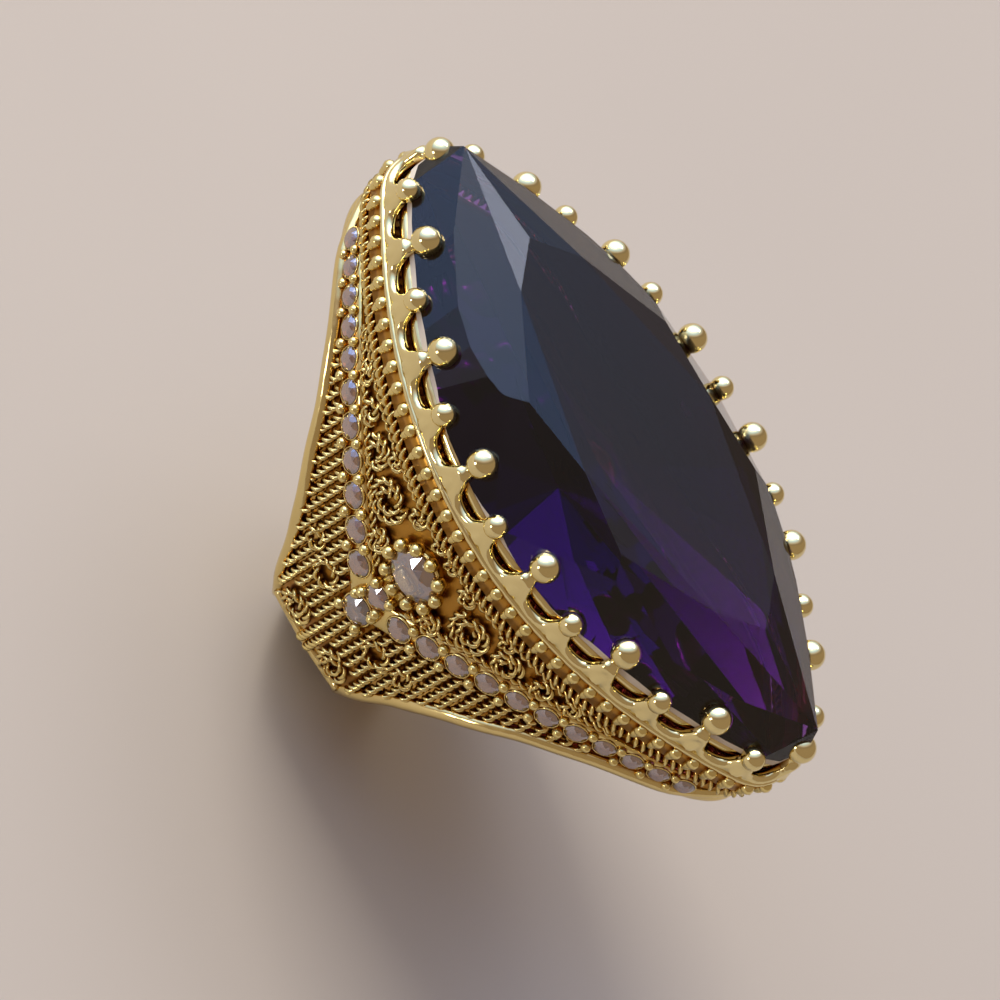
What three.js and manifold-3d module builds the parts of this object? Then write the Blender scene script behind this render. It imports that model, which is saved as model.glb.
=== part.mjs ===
// A cocktail ring: one long navette-cut stone held by a crown of ball-ended prongs, on a gilt
// gallery whose two shoulder walls carry a V of small round stones and run down into the band.
//
// Frame, in millimetres: the origin is the centre of the finger hole, +Y is the axis of that
// hole and the long axis of the stone, +Z points up through the stone, +X is the front wall.
import * as THREE from "three";
import { mergeVertices } from "three/addons/utils/BufferGeometryUtils.js";
import Module from "manifold-3d";

// ---------------------------------------------------------------- driving dimensions
const FINGER_RADIUS = 9; // finger hole, at its narrowest
const SLEEVE_WALL = 0.95; // sheet that touches the finger
const SLEEVE_FLARE = 0.95; // how much wider the hole gets under the head
const SLEEVE_FLARE_FROM = 2; // along the hole, where the flare starts
const SLEEVE_FLARE_TO = 17; // and where it is complete
const RIM_PROUD = 0.35; // the sleeve's edge stands out past the shoulder walls
const BAND_HALF_WIDTH = 3.6; // half the width of the band below the shoulders
const BAND_WALL = 0.65; // outer band below the shoulders, over the sleeve
const BAND_FLAT_WIDTH = 2.6; // flat filed under the band
const SHOULDER_LOW = 5; // the shoulder walls reach this far below the finger's centre
const WINDOW_RADIUS = 1.7; // light holes in the sleeve under the stone
const WINDOW_PITCH = 5.2;
const WINDOW_COUNT = 5;

const GALLERY_HEIGHT = 7.8; // from the finger hole up to the middle of the small prong balls
const HEAD_HALF_WIDTH = 11.5; // prong line, across the middle
const HEAD_REACH = 23.5; // where the two sides' curves would meet, along the stone
const TIP_ROUND_FROM = 20.4; // along the stone, where the rounding of the tip takes over

const PRONG_COUNT = 28;
const SMALL_BALL_RADIUS = 0.77;
const LARGE_BALL_RADIUS = 0.96;
const LARGE_BALL_RISE = 0.85; // above the small balls
const LARGE_BALL_LEAN = 0.6; // towards the stone
const PRONG_FOOT_RADIUS = 0.52;
const PRONG_NECK_RADIUS = 0.4;
const ARCADE_WALL = 0.8;
const ARCADE_FOOT = 2.15; // underside of the arcade, below the small balls
const ARCADE_RAIL = 0.3; // rail left under the lowest point of each arch
const ARCH_RISE = 1.15; // from that lowest point up to where the arch meets the prong

const BELT_HEIGHT = 1.5;
const BELT_WALL = 0.6;
const GRANULE_COUNT = 76;
const GRANULE_HALF_WIDTH = 0.46;
const GRANULE_HALF_HEIGHT = 0.68;
const ROPE_RADIUS = 0.42;

const STONE_INSET = 0.35; // the stone's edge, inside the prong line
const GIRDLE_HEIGHT = 0.4; // thickness of the stone's edge
const GIRDLE_DROP = 0.2; // top of that edge, below the small balls
const CROWN_HEIGHT = 3.8; // from the top of the edge up to the table
const PAVILION_DEPTH = 5.4; // from the underside of the edge down to the keel
const RIM_SLOPE = 1.25; // rise over run of the lowest crown facets, along the sides
const TIP_RIM_SLOPE = 4; // and at the blunt tips
const STONE_CLEARANCE = 0.06; // round the stone, in its prongs and on its seat
const SEAT_WIDTH = 0.9;
const SEAT_HEIGHT = 0.7;

const WALL_THICKNESS = 0.6; // shoulder walls
const LEAST_WALL = 0.3; // where the walls thin out over the sleeve
const WALL_RECESS = 0.3; // their face, inside the prong line
const WALL_TAPER_REACH = 12; // beyond this the walls stand straight up
const ROW_TIP_DROP = 5.5; // row of small stones, below the small balls, at the tips
const ROW_FALL = 8.3; // from there down to the middle of the V
const ROW_REACH = 22; // along the stone, where the V levels out
const ROW_START = 2.3; // first stone of each arm
const ROW_PITCH = 2.2;
const ROW_COUNT = 10; // stones in each arm
const ROW_STONE_RADIUS = 0.88; // by the V's middle
const TIP_STONE_RADIUS = 0.7; // the last stone of each arm
const CENTRE_STONE_RADIUS = 1.8;
const CENTRE_STONE_DROP = 8.3; // below the small balls
const LINK_STONE_RADIUS = 0.88;
const LINK_STONE_DROP = 12.15;
const APEX_STONE_RADIUS = 1.05;
const APEX_STONE_DROP = 14.35;
const RAIL_MARGIN = 0.16; // metal beside each small stone
const RAIL_HEIGHT = 0.5;
const WIRE_FIELD_HEIGHT = 0.42; // twisted wires laid on the shoulder walls
const WIRE_FIELD_REACH = 18; // along the stone
const FIELD_MARGIN = 0.12; // between the wires and the rail
const GAP = 0.06; // between soldered neighbours, so that each stays a piece of its own
const WALL_GAP = 0.17; // between the sleeve and the walls that curve over it

// Lower edge of a shoulder wall: share of the height from SHOULDER_LOW up to the tips, and
// share of the way from the band's half width out to the tip of the head.
const SHOULDER_LINE = [
  [0, 0],
  [0.28, 0.12],
  [0.47, 0.24],
  [0.72, 0.46],
  [0.88, 0.68],
  [0.96, 0.88],
  [1, 1],
];

// Round stones, as shares of their radius.
const LIGHT_HOLE_SHARE = 0.6; // of a centre-line stone's radius, behind it
const ROW_STONE_SIDES = 6;
const CENTRE_LINE_SIDES = 10;
const BRILLIANT_PAVILION = 0.6;
const BRILLIANT_CROWN = 0.34;
const BRILLIANT_TABLE = 0.56;

// Where the crown facets meet, as shares of the stone's half width, half length and crown.
const FACET_POINTS = {
  tableSide: [0.57, 0, 1],
  tableCorner: [0.275, 0.525, 1],
  tableEnd: [0, 0.645, 1],
  starTip: [0.64, 0.355, 0.835],
  sideFoot: [0.795, 0.395, 0.22],
  girdleMiddle: [1, 0, 0],
  shoulderFoot: [0.56, 0.755, 0.3],
  endRidge: [0, 0.955, 0.82],
};

// ---------------------------------------------------------------- derived levels
const WALL_END = 0.25 - 0.0012; // share of a turn: the front and back walls all but meet
const PRONG_Z = FINGER_RADIUS + GALLERY_HEIGHT;
const ARCADE_FOOT_Z = PRONG_Z - ARCADE_FOOT;
const ARCH_LOW_Z = ARCADE_FOOT_Z + ARCADE_RAIL;
const BELT_TOP_Z = ARCADE_FOOT_Z - GAP;
const BELT_LOW_Z = BELT_TOP_Z - BELT_HEIGHT;
const ROPE_Z = BELT_LOW_Z - GAP - ROPE_RADIUS;
const WALL_TOP_Z = ROPE_Z - ROPE_RADIUS - GAP;
const GIRDLE_TOP_Z = PRONG_Z - GIRDLE_DROP;
const GIRDLE_LOW_Z = GIRDLE_TOP_Z - GIRDLE_HEIGHT;
const BAND_RADIUS = FINGER_RADIUS + SLEEVE_WALL + WALL_GAP + BAND_WALL;

const { lerp, clamp, smoothstep } = THREE.MathUtils;

// ---------------------------------------------------------------- solids
const wasm = await Module();
wasm.setup();

function solid(geometry) {
  const bare = geometry.clone();
  bare.deleteAttribute("normal");
  bare.deleteAttribute("uv");
  const merged = mergeVertices(bare, 1e-4);
  return new wasm.Manifold(
    new wasm.Mesh({
      numProp: 3,
      vertProperties: new Float32Array(merged.attributes.position.array),
      triVerts: new Uint32Array(merged.index.array),
    }),
  );
}

function geometryOf(manifold) {
  const mesh = manifold.getMesh();
  const geometry = new THREE.BufferGeometry();
  geometry.setAttribute("position", new THREE.BufferAttribute(mesh.vertProperties, 3));
  geometry.setIndex(new THREE.BufferAttribute(mesh.triVerts, 1));
  return geometry;
}

function joined(pieces) {
  return pieces.reduce((whole, piece) => whole.add(piece));
}

// Points and triangles to a solid.
function meshSolid(points, triangles) {
  const geometry = new THREE.BufferGeometry().setFromPoints(points);
  geometry.setIndex(triangles);
  return solid(geometry);
}

// A closed body from equal loops of points: a tunnel that bites its tail, or capped at its ends.
function loftLoops(loops, closed) {
  const size = loops[0].length;
  const triangles = [];
  const spans = closed ? loops.length : loops.length - 1;
  for (let i = 0; i < spans; i++) {
    const here = i * size;
    const next = ((i + 1) % loops.length) * size;
    for (let j = 0; j < size; j++) {
      const k = (j + 1) % size;
      triangles.push(here + j, next + j, next + k, here + j, next + k, here + k);
    }
  }
  if (!closed) {
    const last = (loops.length - 1) * size;
    for (let j = 1; j < size - 1; j++) {
      triangles.push(0, j, j + 1, last, last + j + 1, last + j);
    }
  }
  return meshSolid(loops.flat(), triangles);
}

// A curved sheet between two equal grids of points, outer[i][j] and inner[i][j]; i runs
// forwards along the front of the ring, j runs upwards.
function sheetSolid(outer, inner) {
  const loops = outer.map((column, i) => [...column, ...[...inner[i]].reverse()]);
  const size = loops[0].length;
  const half = size / 2;
  const triangles = [];
  for (let i = 0; i < loops.length - 1; i++) {
    for (let j = 0; j < size; j++) {
      const k = (j + 1) % size;
      const [here, next] = [i * size, (i + 1) * size];
      triangles.push(here + j, next + j, next + k, here + j, next + k, here + k);
    }
  }
  const last = (loops.length - 1) * size;
  for (let j = 0; j < half - 1; j++) {
    const [a, b, c, d] = [j, j + 1, size - 2 - j, size - 1 - j];
    triangles.push(a, b, c, a, c, d);
    triangles.push(last + a, last + c, last + b, last + a, last + d, last + c);
  }
  return meshSolid(loops.flat(), triangles);
}

// ---------------------------------------------------------------- the head's outline
// The prong line in plan: a parabola on each side, rounded off at the two tips. It starts at
// the middle of the front and runs towards +Y, counter-clockwise seen from above.
class HeadOutline extends THREE.Curve {
  constructor() {
    super();
    const bend = (2 * HEAD_HALF_WIDTH * TIP_ROUND_FROM) / HEAD_REACH ** 2;
    const x = HEAD_HALF_WIDTH * (1 - (TIP_ROUND_FROM / HEAD_REACH) ** 2);
    this.tipCentre = TIP_ROUND_FROM - x * bend;
    this.tipRadius = x * Math.hypot(1, bend);
    this.tipFrom = Math.atan(bend);
    this.sideShare = 0.86;
    this.arcLengthDivisions = 1600;
  }

  getPoint(t, target = new THREE.Vector3()) {
    const turn = (t - Math.floor(t)) * 4;
    const quarter = Math.floor(turn);
    const along = quarter % 2 ? 1 - (turn - quarter) : turn - quarter;
    let x;
    let y;
    if (along < this.sideShare) {
      y = (TIP_ROUND_FROM * along) / this.sideShare;
      x = HEAD_HALF_WIDTH * (1 - (y / HEAD_REACH) ** 2);
    } else {
      const share = (along - this.sideShare) / (1 - this.sideShare);
      const angle = lerp(this.tipFrom, Math.PI / 2, share);
      x = this.tipRadius * Math.cos(angle);
      y = this.tipCentre + this.tipRadius * Math.sin(angle);
    }
    const front = quarter === 0 || quarter === 3;
    const forward = quarter < 2;
    return target.set(front ? x : -x, forward ? y : -y, 0);
  }
}

const outline = new HeadOutline();
const HEAD_TIP = outline.tipCentre + outline.tipRadius;

// A point of the outline moved outwards by an offset and up to a height; u runs round once.
function outlinePoint(u, offset, z) {
  const t = outline.getUtoTmapping(u - Math.floor(u));
  const [before, after] = [outline.getPoint(t - 1e-4), outline.getPoint(t + 1e-4)];
  const along = after.sub(before).normalize();
  const point = outline.getPoint(t);
  return point.set(point.x + along.y * offset, point.y - along.x * offset, z);
}

// A band that follows the outline: section(u) lists [offset, z] counter-clockwise.
function outlineBand(count, section) {
  const loops = [];
  for (let i = 0; i < count; i++) {
    const u = i / count;
    loops.push(section(u).map(([offset, z]) => outlinePoint(u, offset, z)));
  }
  return loftLoops(loops, true);
}

// ---------------------------------------------------------------- shoulders and sleeve
const shoulderLine = new THREE.CatmullRomCurve3(
  SHOULDER_LINE.map(([height, width]) => new THREE.Vector3(height, width, 0)),
);
const SHOULDER_TIP_Z = FINGER_RADIUS + SLEEVE_WALL + SLEEVE_FLARE;
const shoulderSamples = shoulderLine.getPoints(240);

// Half the width of the shoulders, along Y, at a height.
function shoulderHalfWidth(z) {
  const height = clamp((z + SHOULDER_LOW) / (SHOULDER_TIP_Z + SHOULDER_LOW), 0, 1);
  const next = shoulderSamples.findIndex((p) => p.x >= height);
  const [a, b] = [shoulderSamples[Math.max(next - 1, 0)], shoulderSamples[Math.max(next, 1)]];
  const share = clamp((height - a.x) / (b.x - a.x), 0, 1);
  return lerp(BAND_HALF_WIDTH, HEAD_TIP - WALL_RECESS, lerp(a.y, b.y, share));
}

// The sleeve's outer radius at a distance along the finger hole.
function sleeveRadius(y) {
  const flare = smoothstep(Math.abs(y), SLEEVE_FLARE_FROM, SLEEVE_FLARE_TO) * SLEEVE_FLARE;
  return FINGER_RADIUS + SLEEVE_WALL + flare;
}

// Half the sleeve's width at an angle round the finger, measured from straight up.
function sleeveHalfWidth(angle) {
  let half = HEAD_TIP;
  for (let i = 0; i < 40; i++) {
    half = lerp(half, shoulderHalfWidth(sleeveRadius(half) * Math.cos(angle)), 0.5);
  }
  return half + RIM_PROUD;
}

// How far the wall stands in from the outline, near the middle, as it nears the finger.
function wallTaper(y, z) {
  const middle = HEAD_HALF_WIDTH - WALL_RECESS;
  const low = z < 0 ? Math.sqrt(BAND_RADIUS ** 2 - z ** 2) : lerp(BAND_RADIUS, middle, z / PRONG_Z);
  return (middle - low) * Math.max(0, 1 - (y / WALL_TAPER_REACH) ** 2);
}

// A point of the front wall's face, moved out by lift; u runs from -1/4 to 1/4 of a turn.
function wallPoint(u, z, lift = 0) {
  const point = outlinePoint(u, lift - WALL_RECESS, z);
  point.x -= wallTaper(point.y, z);
  return point;
}

function sleeveFront(y, z) {
  return Math.sqrt(Math.max(0, (sleeveRadius(y) + WALL_GAP) ** 2 - z ** 2));
}

// The u of the front wall at a distance along the stone.
function wallU(y) {
  let [low, high] = [0, 0.25];
  for (let i = 0; i < 30; i++) {
    const middle = (low + high) / 2;
    if (outlinePoint(middle, -WALL_RECESS, 0).y < Math.abs(y)) low = middle;
    else high = middle;
  }
  return Math.sign(y) * low;
}

function wallNormal(u, z) {
  const step = 1e-3;
  const along = wallPoint(u + step, z).sub(wallPoint(u - step, z));
  const up = wallPoint(u, z + step).sub(wallPoint(u, z - step));
  return along.cross(up).normalize();
}

// How far round the outline the front wall reaches at a height, clear of the sleeve.
function wallReach(z) {
  if (z >= SHOULDER_TIP_Z + WALL_GAP) return WALL_END;
  const step = 0.0005;
  let u = Math.min(WALL_END, wallU(shoulderHalfWidth(z)));
  for (; u > step; u -= step) {
    const point = wallPoint(u, z);
    if (point.x - sleeveFront(point.y, z) > LEAST_WALL) break;
  }
  return u;
}

// A sheet on the front wall from the bottom of the shoulders up to a height.
function wallSheet(top, lift, depth) {
  const columns = 22;
  const rows = 12;
  const outer = [];
  const inner = [];
  const levels = [];
  for (let j = 0; j <= rows; j++) {
    const z = lerp(-SHOULDER_LOW, top, 1 - (1 - j / rows) ** 1.5);
    levels.push({ z, reach: wallReach(z) });
  }
  for (let i = 0; i <= columns; i++) {
    const share = (2 * i) / columns - 1;
    outer.push(levels.map(({ z, reach }) => wallPoint(reach * share, z, lift)));
    inner.push(
      levels.map(({ z, reach }) => {
        const behind = wallPoint(reach * share, z, lift - depth);
        behind.x = Math.max(behind.x, sleeveFront(behind.y, z));
        return behind;
      }),
    );
  }
  return sheetSolid(outer, inner);
}

// The height of the row of small stones at a distance along the stone.
function rowHeight(y) {
  const share = Math.max(0, 1 - Math.abs(y) / ROW_REACH);
  return PRONG_Z - ROW_TIP_DROP - ROW_FALL * share ** 2;
}

// ---------------------------------------------------------------- small round stones
// Every small stone of the front wall: name, place on the wall and radius.
function frontStones() {
  const onCentreLine = (name, drop, radius) => {
    return { name, u: 0, z: PRONG_Z - drop, radius, sides: CENTRE_LINE_SIDES };
  };
  const places = [
    onCentreLine("centre_zircon", CENTRE_STONE_DROP, CENTRE_STONE_RADIUS),
    onCentreLine("link_zircon", LINK_STONE_DROP, LINK_STONE_RADIUS),
    onCentreLine("apex_zircon", APEX_STONE_DROP, APEX_STONE_RADIUS),
  ];
  for (const [side, sign] of [["left", -1], ["right", 1]]) {
    let y = ROW_START;
    for (let i = 1; i <= ROW_COUNT; i++) {
      places.push({
        name: `${side}_zircon_${i}`,
        u: wallU(sign * y),
        z: rowHeight(y),
        radius: lerp(ROW_STONE_RADIUS, TIP_STONE_RADIUS, i / ROW_COUNT),
        sides: ROW_STONE_SIDES,
      });
      const here = wallPoint(wallU(y), rowHeight(y));
      let next = y;
      const pitch = ROW_PITCH - (ROW_STONE_RADIUS - TIP_STONE_RADIUS) * ((2 * i) / ROW_COUNT);
      while (wallPoint(wallU(next), rowHeight(next)).distanceTo(here) < pitch) next += 0.01;
      y = next;
    }
  }
  return places;
}

// A turned body about +Z, from [radius, height] points listed upwards.
function turned(profile, sides) {
  const line = profile.map(([r, h]) => new THREE.Vector2(r, h));
  return new THREE.LatheGeometry(line, sides).rotateX(Math.PI / 2);
}

// A round brilliant reduced to its crown and pavilion, its edge at height 0.
function brilliant(radius, sides) {
  return turned(
    [
      [0, -BRILLIANT_PAVILION * radius],
      [radius, 0],
      [BRILLIANT_TABLE * radius, BRILLIANT_CROWN * radius],
      [0, BRILLIANT_CROWN * radius],
    ],
    sides,
  );
}

// What a brilliant's seat bores out of the metal.
function brilliantBore(radius, sides) {
  const wide = radius + GAP;
  return turned([[0, -radius], [wide, -radius], [wide, radius], [0, radius]], sides);
}

// Turns +Z to the wall's outward normal and moves to a place on its face.
function placedOnWall(geometry, place, lift) {
  const normal = wallNormal(place.u, place.z);
  const turn = new THREE.Quaternion().setFromUnitVectors(new THREE.Vector3(0, 0, 1), normal);
  const point = wallPoint(place.u, place.z).addScaledVector(normal, lift);
  return geometry.applyQuaternion(turn).translate(point.x, point.y, point.z);
}

// ---------------------------------------------------------------- the main stone
// The stone grown by a clearance all over.
function mainStone(clearance) {
  const halfWidth = HEAD_HALF_WIDTH - STONE_INSET;
  const halfLength = HEAD_TIP - STONE_INSET;
  const stations = 72;
  const blank = [];
  for (let i = 0; i < stations; i++) {
    blank.push(outlinePoint(i / stations, clearance - STONE_INSET, 0));
  }
  const shape = new THREE.Shape(blank.map((p) => new THREE.Vector2(p.x, p.y)));
  const depth = PAVILION_DEPTH + GIRDLE_HEIGHT + CROWN_HEIGHT + 2 * clearance;
  const prism = new THREE.ExtrudeGeometry(shape, { depth, bevelEnabled: false, steps: 1 });
  prism.translate(0, 0, GIRDLE_LOW_Z - PAVILION_DEPTH - clearance);
  let stone = solid(prism);

  // Cuts away what lies beyond a plane, which is moved out by the clearance.
  const big = 80;
  const cut = (point, normal) => {
    const block = new THREE.BoxGeometry(big, big, big).translate(0, 0, big / 2 + clearance);
    const turn = new THREE.Quaternion().setFromUnitVectors(
      new THREE.Vector3(0, 0, 1),
      normal.clone().normalize(),
    );
    block.applyQuaternion(turn).translate(point.x, point.y, point.z);
    stone = stone.subtract(solid(block));
  };
  const quarters = [[1, 1], [1, -1], [-1, 1], [-1, -1]];
  const crown = (name, sx, sy) => {
    const [x, y, z] = FACET_POINTS[name];
    return new THREE.Vector3(
      sx * x * halfWidth,
      sy * y * halfLength,
      GIRDLE_TOP_Z + z * CROWN_HEIGHT,
    );
  };
  const facet = (a, b, c) => {
    const normal = b.clone().sub(a).cross(c.clone().sub(a));
    if (normal.z < 0) normal.negate();
    cut(a, normal);
  };
  for (const [sx, sy] of quarters) {
    const p = (name) => crown(name, sx, sy);
    facet(p("tableSide"), p("tableCorner"), p("starTip"));
    facet(p("tableEnd"), p("tableCorner"), p("endRidge"));
    facet(p("tableCorner"), p("starTip"), p("endRidge"));
    facet(p("starTip"), p("sideFoot"), p("girdleMiddle"));
    facet(p("starTip"), p("sideFoot"), p("shoulderFoot"));
    facet(p("endRidge"), p("shoulderFoot"), p("tableCorner"));
  }
  for (const sx of [1, -1]) {
    facet(crown("tableSide", sx, 1), crown("starTip", sx, 1), crown("starTip", sx, -1));
  }

  // Lowest row of crown facets and the pavilion, each facet square to the outline.
  const rimFacets = 24;
  for (let i = 0; i < rimFacets; i++) {
    const u = (i + 0.5) / rimFacets;
    const edge = outlinePoint(u, -STONE_INSET, GIRDLE_TOP_Z);
    const out = outlinePoint(u, 1 - STONE_INSET, GIRDLE_TOP_Z).sub(edge);
    const slope = lerp(RIM_SLOPE, TIP_RIM_SLOPE, out.y ** 4);
    cut(edge, new THREE.Vector3(out.x * slope, out.y * slope, 1));
  }
  const pavilionFacets = 16;
  for (let i = 0; i < pavilionFacets; i++) {
    const u = (i + 0.5) / pavilionFacets;
    const edge = outlinePoint(u, -STONE_INSET, GIRDLE_LOW_Z);
    const out = outlinePoint(u, 1 - STONE_INSET, GIRDLE_LOW_Z).sub(edge);
    const run = out.x * edge.x + out.y * edge.y;
    const slope = PAVILION_DEPTH / run;
    cut(edge, new THREE.Vector3(out.x * slope, out.y * slope, -1));
  }
  return stone;
}

// ---------------------------------------------------------------- crown of prongs
function ballCentre(index) {
  const u = index / PRONG_COUNT;
  const large = index % 2 === 1;
  return large
    ? outlinePoint(u, -LARGE_BALL_LEAN, PRONG_Z + LARGE_BALL_RISE)
    : outlinePoint(u, 0, PRONG_Z);
}

// A tapering round bar between two points.
function taper(from, to, fromRadius, toRadius, sides) {
  const along = to.clone().sub(from);
  const bar = new THREE.CylinderGeometry(toRadius, fromRadius, along.length(), sides);
  const turn = new THREE.Quaternion().setFromUnitVectors(
    new THREE.Vector3(0, 1, 0),
    along.clone().normalize(),
  );
  const middle = from.clone().add(to).multiplyScalar(0.5);
  return bar.applyQuaternion(turn).translate(middle.x, middle.y, middle.z);
}

function prongCrown() {
  const stationsPerArch = 4;
  const half = ARCADE_WALL / 2;
  const arcade = outlineBand(PRONG_COUNT * stationsPerArch, (u) => {
    const inGap = Math.abs((((u * PRONG_COUNT) % 1) + 1) % 1 - 0.5) * 2;
    const top = ARCH_LOW_Z + ARCH_RISE * (1 - Math.sqrt(1 - Math.min(inGap, 0.999) ** 2));
    return [
      [-half, ARCADE_FOOT_Z],
      [half, ARCADE_FOOT_Z],
      [half, top],
      [-half, top],
    ];
  });
  const pieces = [arcade];
  for (let i = 0; i < PRONG_COUNT; i++) {
    const centre = ballCentre(i);
    const foot = outlinePoint(i / PRONG_COUNT, 0, ARCADE_FOOT_Z + ARCADE_RAIL);
    const radius = i % 2 === 1 ? LARGE_BALL_RADIUS : SMALL_BALL_RADIUS;
    const ball = new THREE.SphereGeometry(radius, 6, 4);
    pieces.push(solid(taper(foot, centre, PRONG_FOOT_RADIUS, PRONG_NECK_RADIUS, 6)));
    pieces.push(solid(ball.translate(centre.x, centre.y, centre.z)));
  }
  return joined(pieces).subtract(mainStone(STONE_CLEARANCE));
}

function stoneSeat() {
  const outer = -ARCADE_WALL / 2 - 0.35;
  const low = GIRDLE_LOW_Z - 0.35 - SEAT_HEIGHT;
  const ledge = outlineBand(56, () => [
    [outer - SEAT_WIDTH, low],
    [outer, low],
    [outer, GIRDLE_LOW_Z],
    [outer - SEAT_WIDTH, GIRDLE_LOW_Z],
  ]);
  return ledge.subtract(mainStone(STONE_CLEARANCE));
}

// ---------------------------------------------------------------- belt and rope
function granuleBelt() {
  const half = BELT_WALL / 2;
  const band = outlineBand(GRANULE_COUNT, () => [
    [-half, BELT_LOW_Z],
    [half, BELT_LOW_Z],
    [half, BELT_TOP_Z],
    [-half, BELT_TOP_Z],
  ]);
  const middle = (BELT_LOW_Z + BELT_TOP_Z) / 2;
  const pieces = [band];
  for (let i = 0; i < GRANULE_COUNT; i++) {
    const u = (i + 0.5) / GRANULE_COUNT;
    const place = outlinePoint(u, half, middle);
    const out = outlinePoint(u, half + 1, middle).sub(place);
    const granule = new THREE.OctahedronGeometry(1, 0);
    granule.scale(GRANULE_HALF_WIDTH, GRANULE_HALF_WIDTH, GRANULE_HALF_HEIGHT);
    granule.rotateZ(Math.atan2(out.y, out.x)).translate(place.x, place.y, place.z);
    pieces.push(solid(granule));
  }
  return joined(pieces);
}

function girdleRope() {
  const sides = 5;
  return outlineBand(64, () => {
    const section = [];
    for (let j = 0; j < sides; j++) {
      const angle = (j / sides) * 2 * Math.PI;
      section.push([ROPE_RADIUS * Math.cos(angle), ROPE_Z + ROPE_RADIUS * Math.sin(angle)]);
    }
    return section;
  });
}

// ---------------------------------------------------------------- shoulder walls
// The wall, with a light hole behind each stone on its centre line.
function shoulderWall(stones) {
  const wall = wallSheet(WALL_TOP_Z, 0, WALL_THICKNESS);
  const holes = stones
    .filter((stone) => stone.u === 0)
    .map((stone) => {
      const radius = stone.radius * LIGHT_HOLE_SHARE;
      const hole = new THREE.CylinderGeometry(radius, radius, 4 * WALL_THICKNESS, 8);
      return solid(placedOnWall(hole.rotateX(Math.PI / 2), stone, 0));
    });
  return holes.reduce((whole, hole) => whole.subtract(hole), wall);
}

// Half the rail's width beside the row's stones, at a distance along the stone.
function railHalfWidth(y) {
  const share = clamp(Math.abs(y) / ROW_REACH, 0, 1);
  return lerp(ROW_STONE_RADIUS, TIP_STONE_RADIUS, share) + GAP + RAIL_MARGIN;
}

// Raised rail along the V, with a pad under each stone on the centre line and a seat bored
// for every stone.
function zirconRail(stones) {
  const low = GAP;
  const high = GAP + RAIL_HEIGHT;
  // A flat strip on the wall through stations { u, z, along, half }.
  const strip = (stationList) =>
    loftLoops(
      stationList.map(({ u, z, along, half }) => {
        const normal = wallNormal(u, z);
        const across = normal.clone().cross(along).normalize().multiplyScalar(half);
        const at = (side, lift) =>
          wallPoint(u, z).addScaledVector(across, side).addScaledVector(normal, lift);
        return [at(-1, low), at(-1, high), at(1, high), at(1, low)];
      }),
      false,
    );
  const last = Math.max(...stones.map((s) => s.u));
  const steps = 12;
  const arm = (sign) => {
    const stationList = [];
    for (let i = 0; i <= steps; i++) {
      const u = (sign * last * 1.02 * i) / steps;
      const y = Math.abs(wallPoint(u, 0).y);
      const slope = (2 * ROW_FALL * (1 - y / ROW_REACH)) / ROW_REACH;
      const along = new THREE.Vector3(0, sign, slope);
      stationList.push({ u, z: rowHeight(y), along, half: railHalfWidth(y) });
    }
    return strip(stationList);
  };
  const up = new THREE.Vector3(0, 0, 1);
  const spine = strip(
    [PRONG_Z - APEX_STONE_DROP, PRONG_Z - CENTRE_STONE_DROP].map((z) => {
      return { u: 0, z, along: up, half: LINK_STONE_RADIUS };
    }),
  );
  const pads = stones
    .filter((stone) => stone.u === 0)
    .map((stone) => {
      const radius = stone.radius + GAP + RAIL_MARGIN;
      const pad = new THREE.CylinderGeometry(radius, radius, RAIL_HEIGHT, 12);
      return solid(placedOnWall(pad.rotateX(Math.PI / 2), stone, (low + high) / 2));
    });
  const rail = joined([arm(1), arm(-1), spine, ...pads]);
  const seats = stones.map((stone) => {
    return solid(placedOnWall(brilliantBore(stone.radius, stone.sides), stone, high));
  });
  return seats.reduce((whole, seat) => whole.subtract(seat), rail);
}

// Height of the lower edge of the rail and of the apex stone's pad.
function underRail(y) {
  const slope = (2 * ROW_FALL * (1 - Math.abs(y) / ROW_REACH)) / ROW_REACH;
  const side = rowHeight(y) - (railHalfWidth(y) + FIELD_MARGIN) * Math.hypot(1, slope);
  const padRadius = APEX_STONE_RADIUS + GAP + RAIL_MARGIN + FIELD_MARGIN;
  const apex = PRONG_Z - APEX_STONE_DROP;
  if (Math.abs(y) >= padRadius) return side;
  return Math.min(side, apex - Math.sqrt(padRadius ** 2 - y ** 2));
}

// The field of wires between the rail and the shoulder's edge, as one plain sheet.
function wireField() {
  const lift = 2 * GAP + WIRE_FIELD_HEIGHT;
  const sheet = wallSheet(PRONG_Z - ROW_TIP_DROP, lift, WIRE_FIELD_HEIGHT);
  const above = new THREE.Shape();
  above.moveTo(-WIRE_FIELD_REACH, -2 * SHOULDER_LOW);
  const steps = 36;
  for (let i = 0; i <= steps; i++) {
    const y = WIRE_FIELD_REACH * ((2 * i) / steps - 1);
    above.lineTo(y, underRail(y));
  }
  above.lineTo(WIRE_FIELD_REACH, -2 * SHOULDER_LOW);
  above.closePath();
  const kept = new THREE.ExtrudeGeometry(above, {
    depth: 2 * HEAD_HALF_WIDTH,
    bevelEnabled: false,
  });
  kept.rotateX(Math.PI / 2).rotateZ(Math.PI / 2);
  return sheet.intersect(solid(kept));
}

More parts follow.
